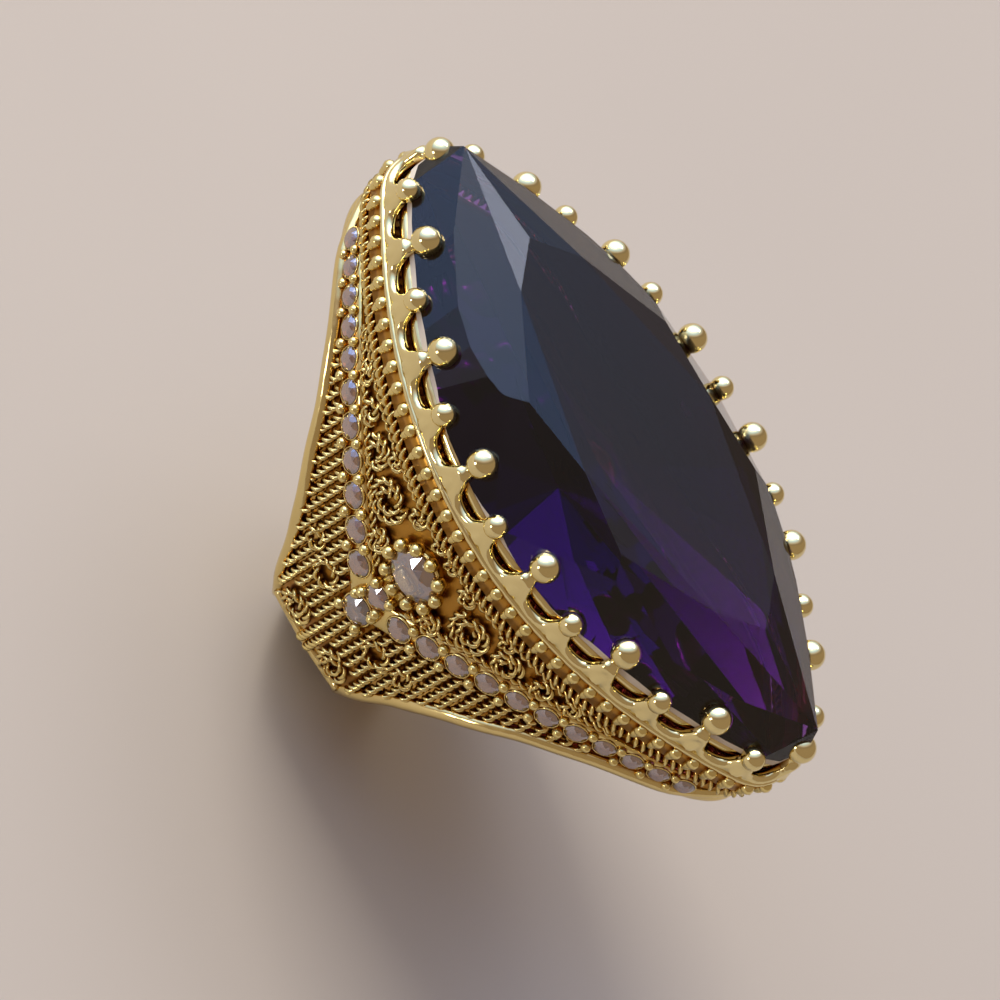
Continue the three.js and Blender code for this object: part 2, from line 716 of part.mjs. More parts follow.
// ---------------------------------------------------------------- sleeve and band
function fingerSleeve() {
  const rings = 44;
  const columns = 9;
  const loops = [];
  for (let i = 0; i < rings; i++) {
    const angle = (i / rings) * 2 * Math.PI;
    const half = sleeveHalfWidth(Math.atan2(Math.abs(Math.sin(angle)), Math.cos(angle)));
    const outer = [];
    const inner = [];
    for (let j = 0; j <= columns; j++) {
      const y = half * ((j / columns) * 2 - 1);
      const radius = sleeveRadius(y);
      const at = (r) => new THREE.Vector3(r * Math.sin(angle), y, r * Math.cos(angle));
      outer.push(at(radius));
      inner.push(at(radius - SLEEVE_WALL));
    }
    loops.push([...outer, ...inner.reverse()]);
  }
  const sheet = loftLoops(loops, true);
  const drills = [];
  for (let i = 0; i < WINDOW_COUNT; i++) {
    const drill = new THREE.CylinderGeometry(WINDOW_RADIUS, WINDOW_RADIUS, 6, 12);
    drill.rotateX(Math.PI / 2);
    drill.translate(0, (i - (WINDOW_COUNT - 1) / 2) * WINDOW_PITCH, FINGER_RADIUS + SLEEVE_WALL);
    drills.push(solid(drill));
  }
  return drills.reduce((whole, drill) => whole.subtract(drill), sheet);
}

function lowerBand() {
  const inner = FINGER_RADIUS + SLEEVE_WALL + WALL_GAP / 2;
  const reach = Math.acos(-SHOULDER_LOW / BAND_RADIUS) - 0.1;
  const steps = 26;
  const loops = [];
  for (let i = 0; i <= steps; i++) {
    const angle = lerp(reach, 2 * Math.PI - reach, i / steps);
    const at = (r, y) => new THREE.Vector3(r * Math.sin(angle), y, r * Math.cos(angle));
    const half = BAND_HALF_WIDTH;
    const shoulder = BAND_RADIUS - 0.35 * BAND_WALL;
    loops.push([
      at(shoulder, -half),
      at(BAND_RADIUS, -half * 0.6),
      at(BAND_RADIUS, half * 0.6),
      at(shoulder, half),
      at(inner, half),
      at(inner, -half),
    ]);
  }
  const band = loftLoops(loops, false);
  const flatZ = -Math.sqrt(BAND_RADIUS ** 2 - (BAND_FLAT_WIDTH / 2) ** 2);
  const big = 4 * BAND_RADIUS;
  const file = new THREE.BoxGeometry(big, big, big).translate(0, 0, flatZ - big / 2);
  const saw = new THREE.BoxGeometry(big, big, big).translate(0, 0, big / 2 - SHOULDER_LOW - GAP);
  return band.subtract(solid(file)).subtract(solid(saw));
}

// ---------------------------------------------------------------- assembly
const gilt = { color: 0xc79a45, metalness: 1, roughness: 0.22 };
const amethyst = { color: 0x2a0f55, metalness: 0, roughness: 0.02 };
const zircon = { color: 0xe8e6f0, metalness: 0, roughness: 0.02 };

const ring = new THREE.Group();

function add(name, geometry, finish) {
  const mesh = new THREE.Mesh(geometry, new THREE.MeshStandardMaterial(finish));
  mesh.name = name;
  ring.add(mesh);
}

// The same piece on the back of the ring: half a turn about +Z.
function onBack(geometry) {
  return geometry.clone().rotateZ(Math.PI);
}

add("main_stone", geometryOf(mainStone(0)), amethyst);
add("prong_crown", geometryOf(prongCrown()), gilt);
add("stone_seat", geometryOf(stoneSeat()), gilt);
add("granule_belt", geometryOf(granuleBelt()), gilt);
add("girdle_rope", geometryOf(girdleRope()), gilt);
add("finger_sleeve", geometryOf(fingerSleeve()), gilt);
add("lower_band", geometryOf(lowerBand()), gilt);

const stones = frontStones();
const walls = {
  shoulder_wall: geometryOf(shoulderWall(stones)),
  zircon_rail: geometryOf(zirconRail(stones)),
  wire_field: geometryOf(wireField()),
};
for (const [name, geometry] of Object.entries(walls)) {
  add(`front_${name}`, geometry, gilt);
  add(`back_${name}`, onBack(geometry), gilt);
}
for (const stone of stones) {
  const geometry = placedOnWall(
    brilliant(stone.radius, stone.sides),
    stone,
    GAP + RAIL_HEIGHT,
  );
  add(`front_${stone.name}`, geometry, zircon);
  add(`back_${stone.name}`, onBack(geometry), zircon);
}

export default ring;
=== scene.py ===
"""The look of a gilt cocktail ring: a long navette stone in a crown of ball-ended prongs,
over shoulders dressed with twisted wire and rows of small round stones.

The ring's frame: origin at the centre of the finger hole, +Y along the hole and the stone,
+Z up through the stone, +X out of the front shoulder. Sizes here are in millimetres and
every mesh is scaled to metres when it is made.
"""

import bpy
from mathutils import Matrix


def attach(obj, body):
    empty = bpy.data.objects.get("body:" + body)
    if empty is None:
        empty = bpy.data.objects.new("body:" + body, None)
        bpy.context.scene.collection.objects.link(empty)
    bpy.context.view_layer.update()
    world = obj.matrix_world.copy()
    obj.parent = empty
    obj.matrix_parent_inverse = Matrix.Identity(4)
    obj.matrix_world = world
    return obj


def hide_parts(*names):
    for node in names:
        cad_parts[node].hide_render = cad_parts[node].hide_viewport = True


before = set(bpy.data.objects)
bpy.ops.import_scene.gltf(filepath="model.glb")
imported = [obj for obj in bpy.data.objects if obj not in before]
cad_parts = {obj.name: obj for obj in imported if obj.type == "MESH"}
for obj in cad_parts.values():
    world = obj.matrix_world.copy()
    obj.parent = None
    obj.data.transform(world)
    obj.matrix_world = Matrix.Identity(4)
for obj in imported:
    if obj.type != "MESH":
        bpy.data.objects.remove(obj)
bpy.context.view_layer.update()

import math

import bmesh
import bpy
import numpy as np
from mathutils import Matrix, Vector

MM = 0.001

# -------- sizes in mm
FINGER_RADIUS = 9.0
SLEEVE_WALL = 0.95
SLEEVE_FLARE = 0.95
SLEEVE_FLARE_FROM = 2.0
SLEEVE_FLARE_TO = 17.0
RIM_PROUD = 0.35
RIM_ROUND = 0.3
BAND_HALF_WIDTH = 3.6
BAND_RADIUS = 10.74
BAND_FLAT_Z = -10.66
SHOULDER_LOW = 5.0
SHOULDER_TIP_Z = 10.9
CURVE_HEIGHTS = [0, 0.28, 0.47, 0.72, 0.88, 0.96, 1]  # shares of the shoulders' height
CURVE_WIDTHS = [0, 0.12, 0.24, 0.46, 0.68, 0.88, 1]  # shares of the way out to full width
CURVE_STEPS = 400
CURVE_EASE = 20  # steps on each side that smooth a point of the curve
LIGHT_HOLE_RADIUS = 1.7
LIGHT_HOLE_PITCH = 5.2
LIGHT_HOLE_COUNT = 5
LIGHT_HOLE_SPAN = (7.0, 13.0)  # heights between which the holes are bored

PRONG_Z = 16.8
HEAD_HALF_WIDTH = 11.5
HEAD_REACH = 23.5
TIP_ROUND_FROM = 20.4
PRONG_COUNT = 28
SMALL_BALL_RADIUS = 0.77
LARGE_BALL_RADIUS = 0.96
LARGE_BALL_RISE = 0.85
LARGE_BALL_LEAN = 0.6
NECK_RADIUS = 0.42
NECK_FOOT_RADIUS = 0.6
NECK_WAIST = 0.82  # shares of the foot's radius
NECK_START = 0.85
NECK_FOOT_RISE = 0.35
NECK_FOOT_OUT = 0.1
WAIST_DROP = 0.75
WAIST_OVERLAP = 0.3
ARCADE_WALL = 0.8
ARCADE_LOW_Z = 14.65
ARCH_TOP_Z = 16.5
ARCH_DEPTH = 1.55
ARCH_SHARE = 0.8  # of the way between prongs
ARCH_POWER = 2.3  # 2 is a half ellipse, more is squarer
ARCH_STEPS = 18
ARCH_LIP_RADIUS = 0.4
ARCH_LIP_OUT = 0.06
ARCH_LIP_DROP = 0.1
CAST_VOXEL = 0.13
BEZEL_INNER = -0.62
BEZEL_OUTER = -0.46
BEZEL_LOW_Z = 14.7
BEZEL_TOP_Z = 16.05
BELT_LOW_Z = 13.09
BELT_TOP_Z = 14.62
BELT_WALL = 0.6
LEDGE_RADIUS = 0.24
LEDGE_RISE = 0.02
GRANULE_COUNT = 76
GRANULE_STEM = (0.38, 0.32, 0.78)  # half sizes out of the belt, along it and up
GRANULE_STEM_OUT = 0.06
GRANULE_STEM_DROP = 0.04
GRANULE_RADIUS = 0.45
GRANULE_OUT = 0.14
GRANULE_DROP = 0.5
ROPE_Z = 12.55
ROPE_RADIUS = 0.5
ROPE_TURNS = 88
ROPE_OUT = 0.02
ROPE_STEPS = 720
WALL_TOP_Z = 12.13
WALL_THICKNESS = 0.6
WALL_RECESS = 0.3
WALL_TAPER_REACH = 12.0
WALL_GAP = 0.17
WALL_COLUMNS = 111
WALL_ROWS = 46
WALL_ROW_BIAS = 1.5  # over 1 brings the rows closer together near the top
LEAST_WALL = 0.3
REACH_STEP = 0.0005
TIP_REACH = 0.2475  # share of the way round the outline, a little short of the tip

ROW_TIP_DROP = 5.5
ROW_FALL = 8.3
ROW_REACH = 22.0
ROW_START = 2.3
ROW_PITCH = 2.2
ROW_COUNT = 11  # stones in each arm
ROW_STEPS = ROW_COUNT - 1
ROW_STONE_RADIUS = 0.88
TIP_STONE_RADIUS = 0.7
CENTRE_ZIRCON = (8.5, 1.8)  # height on the wall, radius
LINK_ZIRCON = (4.65, 0.88)
APEX_ZIRCON = (2.45, 1.05)
CENTRE_STONES = [CENTRE_ZIRCON, LINK_ZIRCON, APEX_ZIRCON]
CENTRE_BEADS = [(10, 0.47), (4, 0.38), (4, 0.38)]  # how many round each stone, radius
CENTRE_BEAD_GAP = 0.22
CENTRE_BEAD_LIFT = 0.66
CENTRE_BEAD_RISE = 1.2  # height as a share of the radius
ROW_BEAD_RADIUS = 0.4
ROW_BEAD_REACH = 0.84  # from the row's middle, as a share of the stone's radius
ROW_BEAD_LIFT = 0.62
ROW_BEAD_RISE = 1.05
STONE_LIFT = 0.56
RAIL_MARGIN = 0.2
RAIL_PAST_END = 0.4
RAIL_LIFT = 0.04
RAIL_POINTS = 60
SPINE_POINTS = 12
RAIL_SECTION = [(-1, 0), (-1, 0.25), (-0.8, 0.42), (0.8, 0.42), (1, 0.25), (1, 0)]
WIRE_RADIUS = 0.33
WIRE_PITCH = 0.72
WIRE_TWIST = 1.3
STRAND_SIDES = 7
STRAND_SWELL = 1.06  # strands sink a little into each other
STEPS_PER_TWIST = 14
CAST_SWELL = 0.12
EDGE_RADIUS = 0.5
EDGE_SINK = 0.08
EDGE_TOP_GAP = 0.2
EDGE_EASE = 4  # points on each side that smooth a point of the edge
EDGE_SLIM_REACH = 12  # points over which the edge slims down to the band's
BAND_EDGE_RADIUS = 0.24
BAND_EDGE_SINK = 0.12
BAND_EDGE_DEEPER = 0.3
BAND_EDGE_DEEPER_BY = 0.5  # radians
BAND_EDGE_INSET = 0.05
EDGE_SIDES = 14
FOOT_BAR_RADIUS = 0.38
FOOT_BAR_Z = -4.75
FOOT_BAR_DIP = 0.45
FOOT_BAR_SINK = 0.05
BAND_CROWN_POWER = 3.2
BAND_UNDER_SHOULDER = 0.12  # radians
BAND_CLEARANCE = 0.05
BAND_STEPS = 120
BAND_COLUMNS = 17
SLEEVE_STEPS = 220
SLEEVE_COLUMNS = 41
BAND_INNER_SHARE = 0.9
OUTLINE_STEPS = 240


# -------- outline of the head
def trace_outline():
    """Points round the head's outline from the front middle towards +Y, and arc lengths."""
    y = np.linspace(0, TIP_ROUND_FROM, 900)
    x = HEAD_HALF_WIDTH * (1 - (y / HEAD_REACH) ** 2)
    bend = 2 * HEAD_HALF_WIDTH * TIP_ROUND_FROM / HEAD_REACH**2
    radius = x[-1] * math.sqrt(1 + bend**2)
    start = math.atan(bend)
    angle = np.linspace(start, math.pi / 2, 300)[1:]
    centre = TIP_ROUND_FROM - radius * math.sin(start)
    tip = np.c_[radius * np.cos(angle), centre + radius * np.sin(angle)]
    quarter = np.r_[np.c_[x, y], tip]
    half = np.r_[quarter, quarter[-2::-1] * [-1, 1]]
    loop = np.r_[half, half[-2::-1] * [1, -1]]
    length = np.r_[0, np.cumsum(np.linalg.norm(np.diff(loop, axis=0), axis=1))]
    return loop, length / length[-1], length[-1]


OUTLINE, OUTLINE_U, PERIMETER = trace_outline()
HEAD_TIP = OUTLINE[:, 1].max()


def outline_at(u, offset, z):
    """Points of the outline moved outwards by an offset, at a height; u is in turns."""
    u, offset, z = np.broadcast_arrays(np.asarray(u, float), offset, z)

    def on_line(at):
        at = at % 1
        return np.stack([np.interp(at, OUTLINE_U, OUTLINE[:, k]) for k in (0, 1)], -1)

    along = on_line(u + 4e-4) - on_line(u - 4e-4)
    along /= np.linalg.norm(along, axis=-1, keepdims=True)
    flat = on_line(u) + np.stack([along[..., 1], -along[..., 0]], -1) * offset[..., None]
    return np.concatenate([flat, z[..., None]], -1)


# -------- shoulder walls
def smoothstep(x, low, high):
    t = np.clip((x - low) / (high - low), 0, 1)
    return t * t * (3 - 2 * t)


def shoulder_half_width(z):
    """Half the shoulders' width along Y at a height."""
    fine = np.linspace(0, 1, CURVE_STEPS)
    rough = np.interp(fine, CURVE_HEIGHTS, CURVE_WIDTHS)
    rough = np.pad(rough, CURVE_EASE, "reflect", reflect_type="odd")
    kernel = np.hanning(2 * CURVE_EASE + 1)
    soft = np.convolve(rough, kernel / kernel.sum(), "valid")
    share = np.clip((z + SHOULDER_LOW) / (SHOULDER_TIP_Z + SHOULDER_LOW), 0, 1)
    full = HEAD_TIP - WALL_RECESS
    return BAND_HALF_WIDTH + (full - BAND_HALF_WIDTH) * np.interp(share, fine, soft)


def sleeve_radius(y):
    flare = smoothstep(np.abs(y), SLEEVE_FLARE_FROM, SLEEVE_FLARE_TO) * SLEEVE_FLARE
    return FINGER_RADIUS + SLEEVE_WALL + flare


def wall_taper(y, z):
    middle = HEAD_HALF_WIDTH - WALL_RECESS
    below = np.sqrt(np.maximum(BAND_RADIUS**2 - np.minimum(z, 0) ** 2, 0))
    above = BAND_RADIUS + (middle - BAND_RADIUS) * z / PRONG_Z
    low = np.where(z < 0, below, above)
    return (middle - low) * np.maximum(0, 1 - (y / WALL_TAPER_REACH) ** 2)


def wall_at(u, z, lift=0.0):
    """Points of the front wall's face, moved out by a lift."""
    u, z, lift = np.broadcast_arrays(np.asarray(u, float), z, lift)
    point = outline_at(u, lift - WALL_RECESS, z)
    point[..., 0] -= wall_taper(point[..., 1], point[..., 2])
    return point


WALL_U = np.linspace(-0.25, 0.25, 2001)
WALL_Y = wall_at(WALL_U, 0.0)[:, 1]


def wall_u(y):
    return np.interp(y, WALL_Y, WALL_U)


def wall_frames(y, z, lift=0.0):
    """Places on the front wall: points, and axes along the wall, up it and out of it."""
    y, z = np.broadcast_arrays(np.asarray(y, float), np.asarray(z, float))
    u = wall_u(y)
    along = wall_at(u + 1e-3, z) - wall_at(u - 1e-3, z)
    up = wall_at(u, z + 1e-3) - wall_at(u, z - 1e-3)
    out = np.cross(along, up)
    out /= np.linalg.norm(out, axis=-1, keepdims=True)
    up /= np.linalg.norm(up, axis=-1, keepdims=True)
    return wall_at(u, z) + out * np.asarray(lift)[..., None], np.cross(up, out), up, out


def sleeve_front(y, z):
    return np.sqrt(np.maximum(0, (sleeve_radius(y) + WALL_GAP) ** 2 - z**2))


def on_shoulder(y, z, lift):
    """Points over the front shoulder, clear of both the wall's face and the sleeve."""
    point = wall_frames(y, z, lift)[0]
    sleeve = sleeve_front(point[..., 1], point[..., 2]) - WALL_GAP
    point[..., 0] = np.maximum(point[..., 0], sleeve + lift)
    return point


def wall_reach(z):
    """How far round the outline the front wall goes at a height, clear of the sleeve."""
    if z >= SHOULDER_TIP_Z + WALL_GAP:
        return TIP_REACH
    most = min(TIP_REACH, float(wall_u(shoulder_half_width(z))))
    u = np.arange(REACH_STEP, most, REACH_STEP)
    point = wall_at(u, z)
    clear = point[:, 0] - sleeve_front(point[:, 1], z) > LEAST_WALL
    return float(u[clear][-1])


def row_height(y):
    share = np.maximum(0, 1 - np.abs(y) / ROW_REACH)
    return PRONG_Z - ROW_TIP_DROP - ROW_FALL * share**2


def row_stones():
    """Distance along the stone, height and radius of each small stone of one arm."""
    places = []
    y = ROW_START
    for i in range(1, ROW_COUNT + 1):
        radius = ROW_STONE_RADIUS + (TIP_STONE_RADIUS - ROW_STONE_RADIUS) * i / ROW_STEPS
        places.append((y, float(row_height(y)), radius))
        here = wall_at(wall_u(y), row_height(y))
        shrink = (ROW_STONE_RADIUS - TIP_STONE_RADIUS) * 2 * i / ROW_STEPS
        steps = y + np.arange(0, 1.5 * ROW_PITCH, 0.01)
        gone = np.linalg.norm(wall_at(wall_u(steps), row_height(steps)) - here, axis=-1)
        y = float(steps[np.argmax(gone >= ROW_PITCH - shrink)])
    return places


def rim_height(y):
    """Height of the shoulders' lower edge at a distance along the stone."""
    z = np.linspace(-SHOULDER_LOW, SHOULDER_TIP_Z, 400)
    return np.interp(np.abs(y), shoulder_half_width(z), z)


# -------- mesh building
def make_object(name, vertices, faces, smooth=True):
    """A mesh object from millimetre vertices."""
    mesh = bpy.data.meshes.new(name)
    mesh.from_pydata((np.asarray(vertices, float) * MM).tolist(), [], [list(f) for f in faces])
    work = bmesh.new()
    work.from_mesh(mesh)
    bmesh.ops.remove_doubles(work, verts=work.verts, dist=1e-7)
    bmesh.ops.recalc_face_normals(work, faces=work.faces)
    work.to_mesh(mesh)
    work.free()
    mesh.shade_smooth() if smooth else mesh.shade_flat()
    made = bpy.data.objects.new(name, mesh)
    bpy.context.scene.collection.objects.link(made)
    return made


def loft(loops, closed):
    """Vertices and faces of a closed body through equal loops, capped when it is open."""
    loops = np.asarray(loops, float)
    rows, columns = loops.shape[:2]
    faces = []
    for i in range(rows if closed else rows - 1):
        for j in range(columns):
            a = i * columns + j
            b = i * columns + (j + 1) % columns
            step = ((i + 1) % rows - i) * columns
            faces.append((a, b, b + step, a + step))
    if not closed:
        faces.append(tuple(range(columns))[::-1])
        faces.append(tuple((rows - 1) * columns + j for j in range(columns)))
    return loops.reshape(-1, 3), faces


def outline_band(name, section):
    """A closed band round the outline, from a section of offsets and heights."""
    u = np.arange(OUTLINE_STEPS) / OUTLINE_STEPS
    loops = np.stack([outline_at(u, offset, z) for offset, z in section], 1)
    return make_object(name, *loft(loops, True))


def box_section(inner, outer, low, top):
    return [(inner, low), (outer, low), (outer, top), (inner, top)]


def merged(parts):
    """One list of vertices and faces from several."""
    vertices, faces, start = [], [], 0
    for part_vertices, part_faces in parts:
        vertices.append(part_vertices)
        faces += [tuple(i + start for i in face) for face in part_faces]
        start += len(part_vertices)
    return np.concatenate(vertices), faces


def turned_back(points):
    """The same points half a turn round +Z, on the back of the ring."""
    return np.asarray(points) * [-1, -1, 1]


def both_sides(part):
    vertices, faces = part
    return merged([(vertices, faces), (turned_back(vertices), faces)])


def sheet(outer, inner):
    """A closed body between two equal grids of points."""
    rows, columns = outer.shape[:2]
    count = rows * columns
    faces = []
    for i in range(rows - 1):
        for j in range(columns - 1):
            a = i * columns + j
            face = (a, a + 1, a + columns + 1, a + columns)
            faces.append(face)
            faces.append(tuple(k + count for k in face[::-1]))
    ring = list(range(columns))
    ring += [i * columns + columns - 1 for i in range(1, rows)]
    ring += [(rows - 1) * columns + j for j in range(columns - 2, -1, -1)]
    ring += [i * columns for i in range(rows - 2, 0, -1)]
    for a, b in zip(ring, ring[1:] + ring[:1]):
        faces.append((b, a, a + count, b + count))
    return np.concatenate([outer.reshape(-1, 3), inner.reshape(-1, 3)]), faces


# -------- node helpers
def linear(hex_colour, alpha=1.0):
    """A linear colour from an sRGB hex string."""
    channels = [int(hex_colour[i : i + 2], 16) / 255 for i in (1, 3, 5)]
    made = [c / 12.92 if c <= 0.04045 else ((c + 0.055) / 1.055) ** 2.4 for c in channels]
    return (*made, alpha)


def node(tree, kind, inputs=None, **settings):
    """Adds a node; an input is a value, or a socket to link from."""
    made = tree.nodes.new(kind)
    for name, value in settings.items():
        setattr(made, name, value)
    for name, value in (inputs or {}).items():
        if isinstance(value, bpy.types.NodeSocket):
            tree.links.new(value, made.inputs[name])
        else:
            made.inputs[name].default_value = value
    return made


def maths(tree, operation, *values):
    """One sum on values or sockets."""
    made = node(tree, "ShaderNodeMath", operation=operation)
    for socket, value in zip(made.inputs, values):
        if isinstance(value, bpy.types.NodeSocket):
            tree.links.new(value, socket)
        else:
            socket.default_value = value
    return made.outputs[0]


def noise(tree, place, scale, detail=2.0):
    settings = {"Vector": place, "Scale": scale, "Detail": detail}
    return node(tree, "ShaderNodeTexNoise", settings).outputs["Fac"]


def ranged(tree, value, low, high):
    """A value from 0 to 1 carried over to another range."""
    settings = {"Value": value, "To Min": low, "To Max": high}
    return node(tree, "ShaderNodeMapRange", settings).outputs["Result"]


def blend(tree, factor, first, second):
    """A colour between a first one and a second, which may be a socket."""
    made = node(tree, "ShaderNodeMix", {"Factor": factor}, data_type="RGBA")
    made.inputs[6].default_value = first
    if isinstance(second, bpy.types.NodeSocket):
        tree.links.new(second, made.inputs[7])
    else:
        made.inputs[7].default_value = second
    return made.outputs[2]


def mixed(tree, factor, first, second):
    """Two shaders mixed."""
    made = node(tree, "ShaderNodeMixShader", {"Fac": factor})
    tree.links.new(first.outputs["BSDF"], made.inputs[1])
    tree.links.new(second.outputs["BSDF"], made.inputs[2])
    return made.outputs["Shader"]


def bump(tree, height, strength, distance, **inputs):
    """A normal bent by a height; the distance is in millimetres."""
    settings = {"Height": height, "Strength": strength, "Distance": distance * MM, **inputs}
    return node(tree, "ShaderNodeBump", settings).outputs["Normal"]


def geometry_tree(name, sockets):
    """A Geometry Nodes tree with named inputs, and the identifier of each input."""
    tree = bpy.data.node_groups.new(name, "GeometryNodeTree")
    tree.interface.new_socket("Geometry", in_out="INPUT", socket_type="NodeSocketGeometry")
    tree.interface.new_socket("Geometry", in_out="OUTPUT", socket_type="NodeSocketGeometry")
    names = {}
    for label, kind in sockets:
        made = tree.interface.new_socket(label, in_out="INPUT", socket_type=kind)
        names[label] = made.identifier
    return tree, names, node(tree, "NodeGroupInput").outputs


def finish_tree(tree, geometry, material):
    """Ends a tree: copies made real, material set."""
    real = node(tree, "GeometryNodeRealizeInstances", {"Geometry": geometry})
    painted = node(
        tree,
        "GeometryNodeSetMaterial",
        {"Geometry": real.outputs["Geometry"], "Material": material},
    )
    node(tree, "NodeGroupOutput", {"Geometry": painted.outputs["Geometry"]})


def piece_scatter_tree():
    """Sets a copy of one small piece at every point, turned and sized by attributes."""
    sockets = [("Piece", "NodeSocketObject"), ("Material", "NodeSocketMaterial")]
    tree, names, given = geometry_tree("set_small_pieces", sockets)
    piece = node(tree, "GeometryNodeObjectInfo", {"Object": given["Piece"]})
    turn, size = (
        node(tree, "GeometryNodeInputNamedAttribute", {"Name": name}, data_type="FLOAT_VECTOR")
        for name in ("turn", "size")
    )
    copies = node(
        tree,
        "GeometryNodeInstanceOnPoints",
        {
            "Points": given["Geometry"],
            "Instance": piece.outputs["Geometry"],
            "Rotation": turn.outputs["Attribute"],
            "Scale": size.outputs["Attribute"],
        },
    )
    finish_tree(tree, copies.outputs["Instances"], given["Material"])
    return tree, names


def twisted_wire_tree():
    """Sweeps two round strands along curves and twists them together."""
    sockets = [
        ("Radius", "NodeSocketFloat"),
        ("Twist Length", "NodeSocketFloat"),
        ("Step", "NodeSocketFloat"),
        ("Material", "NodeSocketMaterial"),
    ]
    tree, names, given = geometry_tree("lay_twisted_wire", sockets)
    even = node(
        tree,
        "GeometryNodeResampleCurve",
        {"Curve": given["Geometry"], "Length": given["Step"]},
        mode="LENGTH",
    )
    along = node(tree, "GeometryNodeSplineParameter")
    turns = maths(tree, "DIVIDE", along.outputs["Length"], given["Twist Length"])
    tilt = maths(tree, "MULTIPLY", turns, 2 * math.pi)
    twisted = node(
        tree, "GeometryNodeSetCurveTilt", {"Curve": even.outputs["Curve"], "Tilt": tilt}
    )
    half = maths(tree, "MULTIPLY", given["Radius"], 0.5)
    strand = node(
        tree,
        "GeometryNodeCurvePrimitiveCircle",
        {"Resolution": STRAND_SIDES, "Radius": maths(tree, "MULTIPLY", half, STRAND_SWELL)},
    )
    section = node(tree, "GeometryNodeJoinGeometry")
    for side in (1.0, -1.0):
        shift = node(tree, "ShaderNodeCombineXYZ", {"X": maths(tree, "MULTIPLY", half, side)})
        placed = node(
            tree,
            "GeometryNodeTransform",
            {"Geometry": strand.outputs["Curve"], "Translation": shift.outputs["Vector"]},
        )
        tree.links.new(placed.outputs["Geometry"], section.inputs["Geometry"])
    swept = node(
        tree,
        "GeometryNodeCurveToMesh",
        {
            "Curve": twisted.outputs["Curve"],
            "Profile Curve": section.outputs["Geometry"],
            "Fill Caps": True,
        },
    )
    smooth = node(
        tree, "GeometryNodeSetShadeSmooth", {"Geometry": swept.outputs["Mesh"]}
    )
    finish_tree(tree, smooth.outputs["Geometry"], given["Material"])
    return tree, names


SCATTER = piece_scatter_tree()
WIRE = twisted_wire_tree()


def run_tree(helper, name, tree_and_names, values):
    """The plain mesh that a tree makes of a helper object, which is then removed."""
    tree, names = tree_and_names
    modifier = helper.modifiers.new(tree.name, "NODES")
    modifier.node_group = tree
    for label, value in values.items():
        modifier[names[label]] = value
    return baked(helper, name)


def baked(helper, name):
    """A plain object with what the helper's modifiers make; the helper is removed."""
    bpy.context.view_layer.update()
    graph = bpy.context.evaluated_depsgraph_get()
    mesh = bpy.data.meshes.new_from_object(helper.evaluated_get(graph))
    mesh.name = name
    made = bpy.data.objects.new(name, mesh)
    bpy.context.scene.collection.objects.link(made)
    bpy.data.objects.remove(helper)
    return made


def scatter(name, piece, places, material):
    """Copies of a piece; each place is a point, a 3x3 turn and a size along its axes."""
    helper = bpy.data.meshes.new(name + "_places")
    helper.from_pydata([(np.asarray(p) * MM).tolist() for p, _, _ in places], [], [])
    turn = helper.attributes.new("turn", "FLOAT_VECTOR", "POINT")
    size = helper.attributes.new("size", "FLOAT_VECTOR", "POINT")
    for i, (_, axes, sizes) in enumerate(places):
        turn.data[i].vector = Matrix(np.asarray(axes).tolist()).to_euler()
        size.data[i].vector = sizes
    holder = bpy.data.objects.new(name + "_places", helper)
    bpy.context.scene.collection.objects.link(holder)
    made = run_tree(holder, name, SCATTER, {"Piece": piece, "Material": material})
    bpy.data.objects.remove(piece)
    return made


def wires(name, paths, radius, twist, material, closed=False):
    """Twisted wire along each path of points."""
    curve = bpy.data.curves.new(name + "_paths", "CURVE")
    curve.dimensions = "3D"
    for path in paths:
        spline = curve.splines.new("POLY")
        spline.points.add(len(path) - 1)
        spline.points.foreach_set("co", np.c_[np.asarray(path) * MM, np.ones(len(path))].ravel())
        spline.use_cyclic_u = closed
    helper = bpy.data.objects.new(name + "_paths", curve)
    bpy.context.scene.collection.objects.link(helper)
    values = {
        "Radius": radius * MM,
        "Twist Length": twist * MM,
        "Step": twist / STEPS_PER_TWIST * MM,
        "Material": material,
    }
    return run_tree(helper, name, WIRE, values)


def on_both_walls(places):
    """Places on the front wall and the same ones on the back."""
    half_turn = np.diag([-1.0, -1.0, 1.0])
    return places + [(half_turn @ p, half_turn @ axes, size) for p, axes, size in places]


def wall_place(y, z, lift, sizes):
    point, along, up, out = wall_frames(y, z, lift)
    return point, np.stack([along, up, out], -1), sizes


# -------- materials
GEM_HAZE = 0.02  # greatest roughness of a polished facet
GIRDLE_SLOPE = 0.02  # faces that lean less than this from upright are the girdle
ZIRCON_FLASH = 0.3  # share of plain reflection from the facets


def new_material(name):
    material = bpy.data.materials.new(name)
    material.use_nodes = True
    tree = material.node_tree
    tree.nodes.clear()
    return material, tree


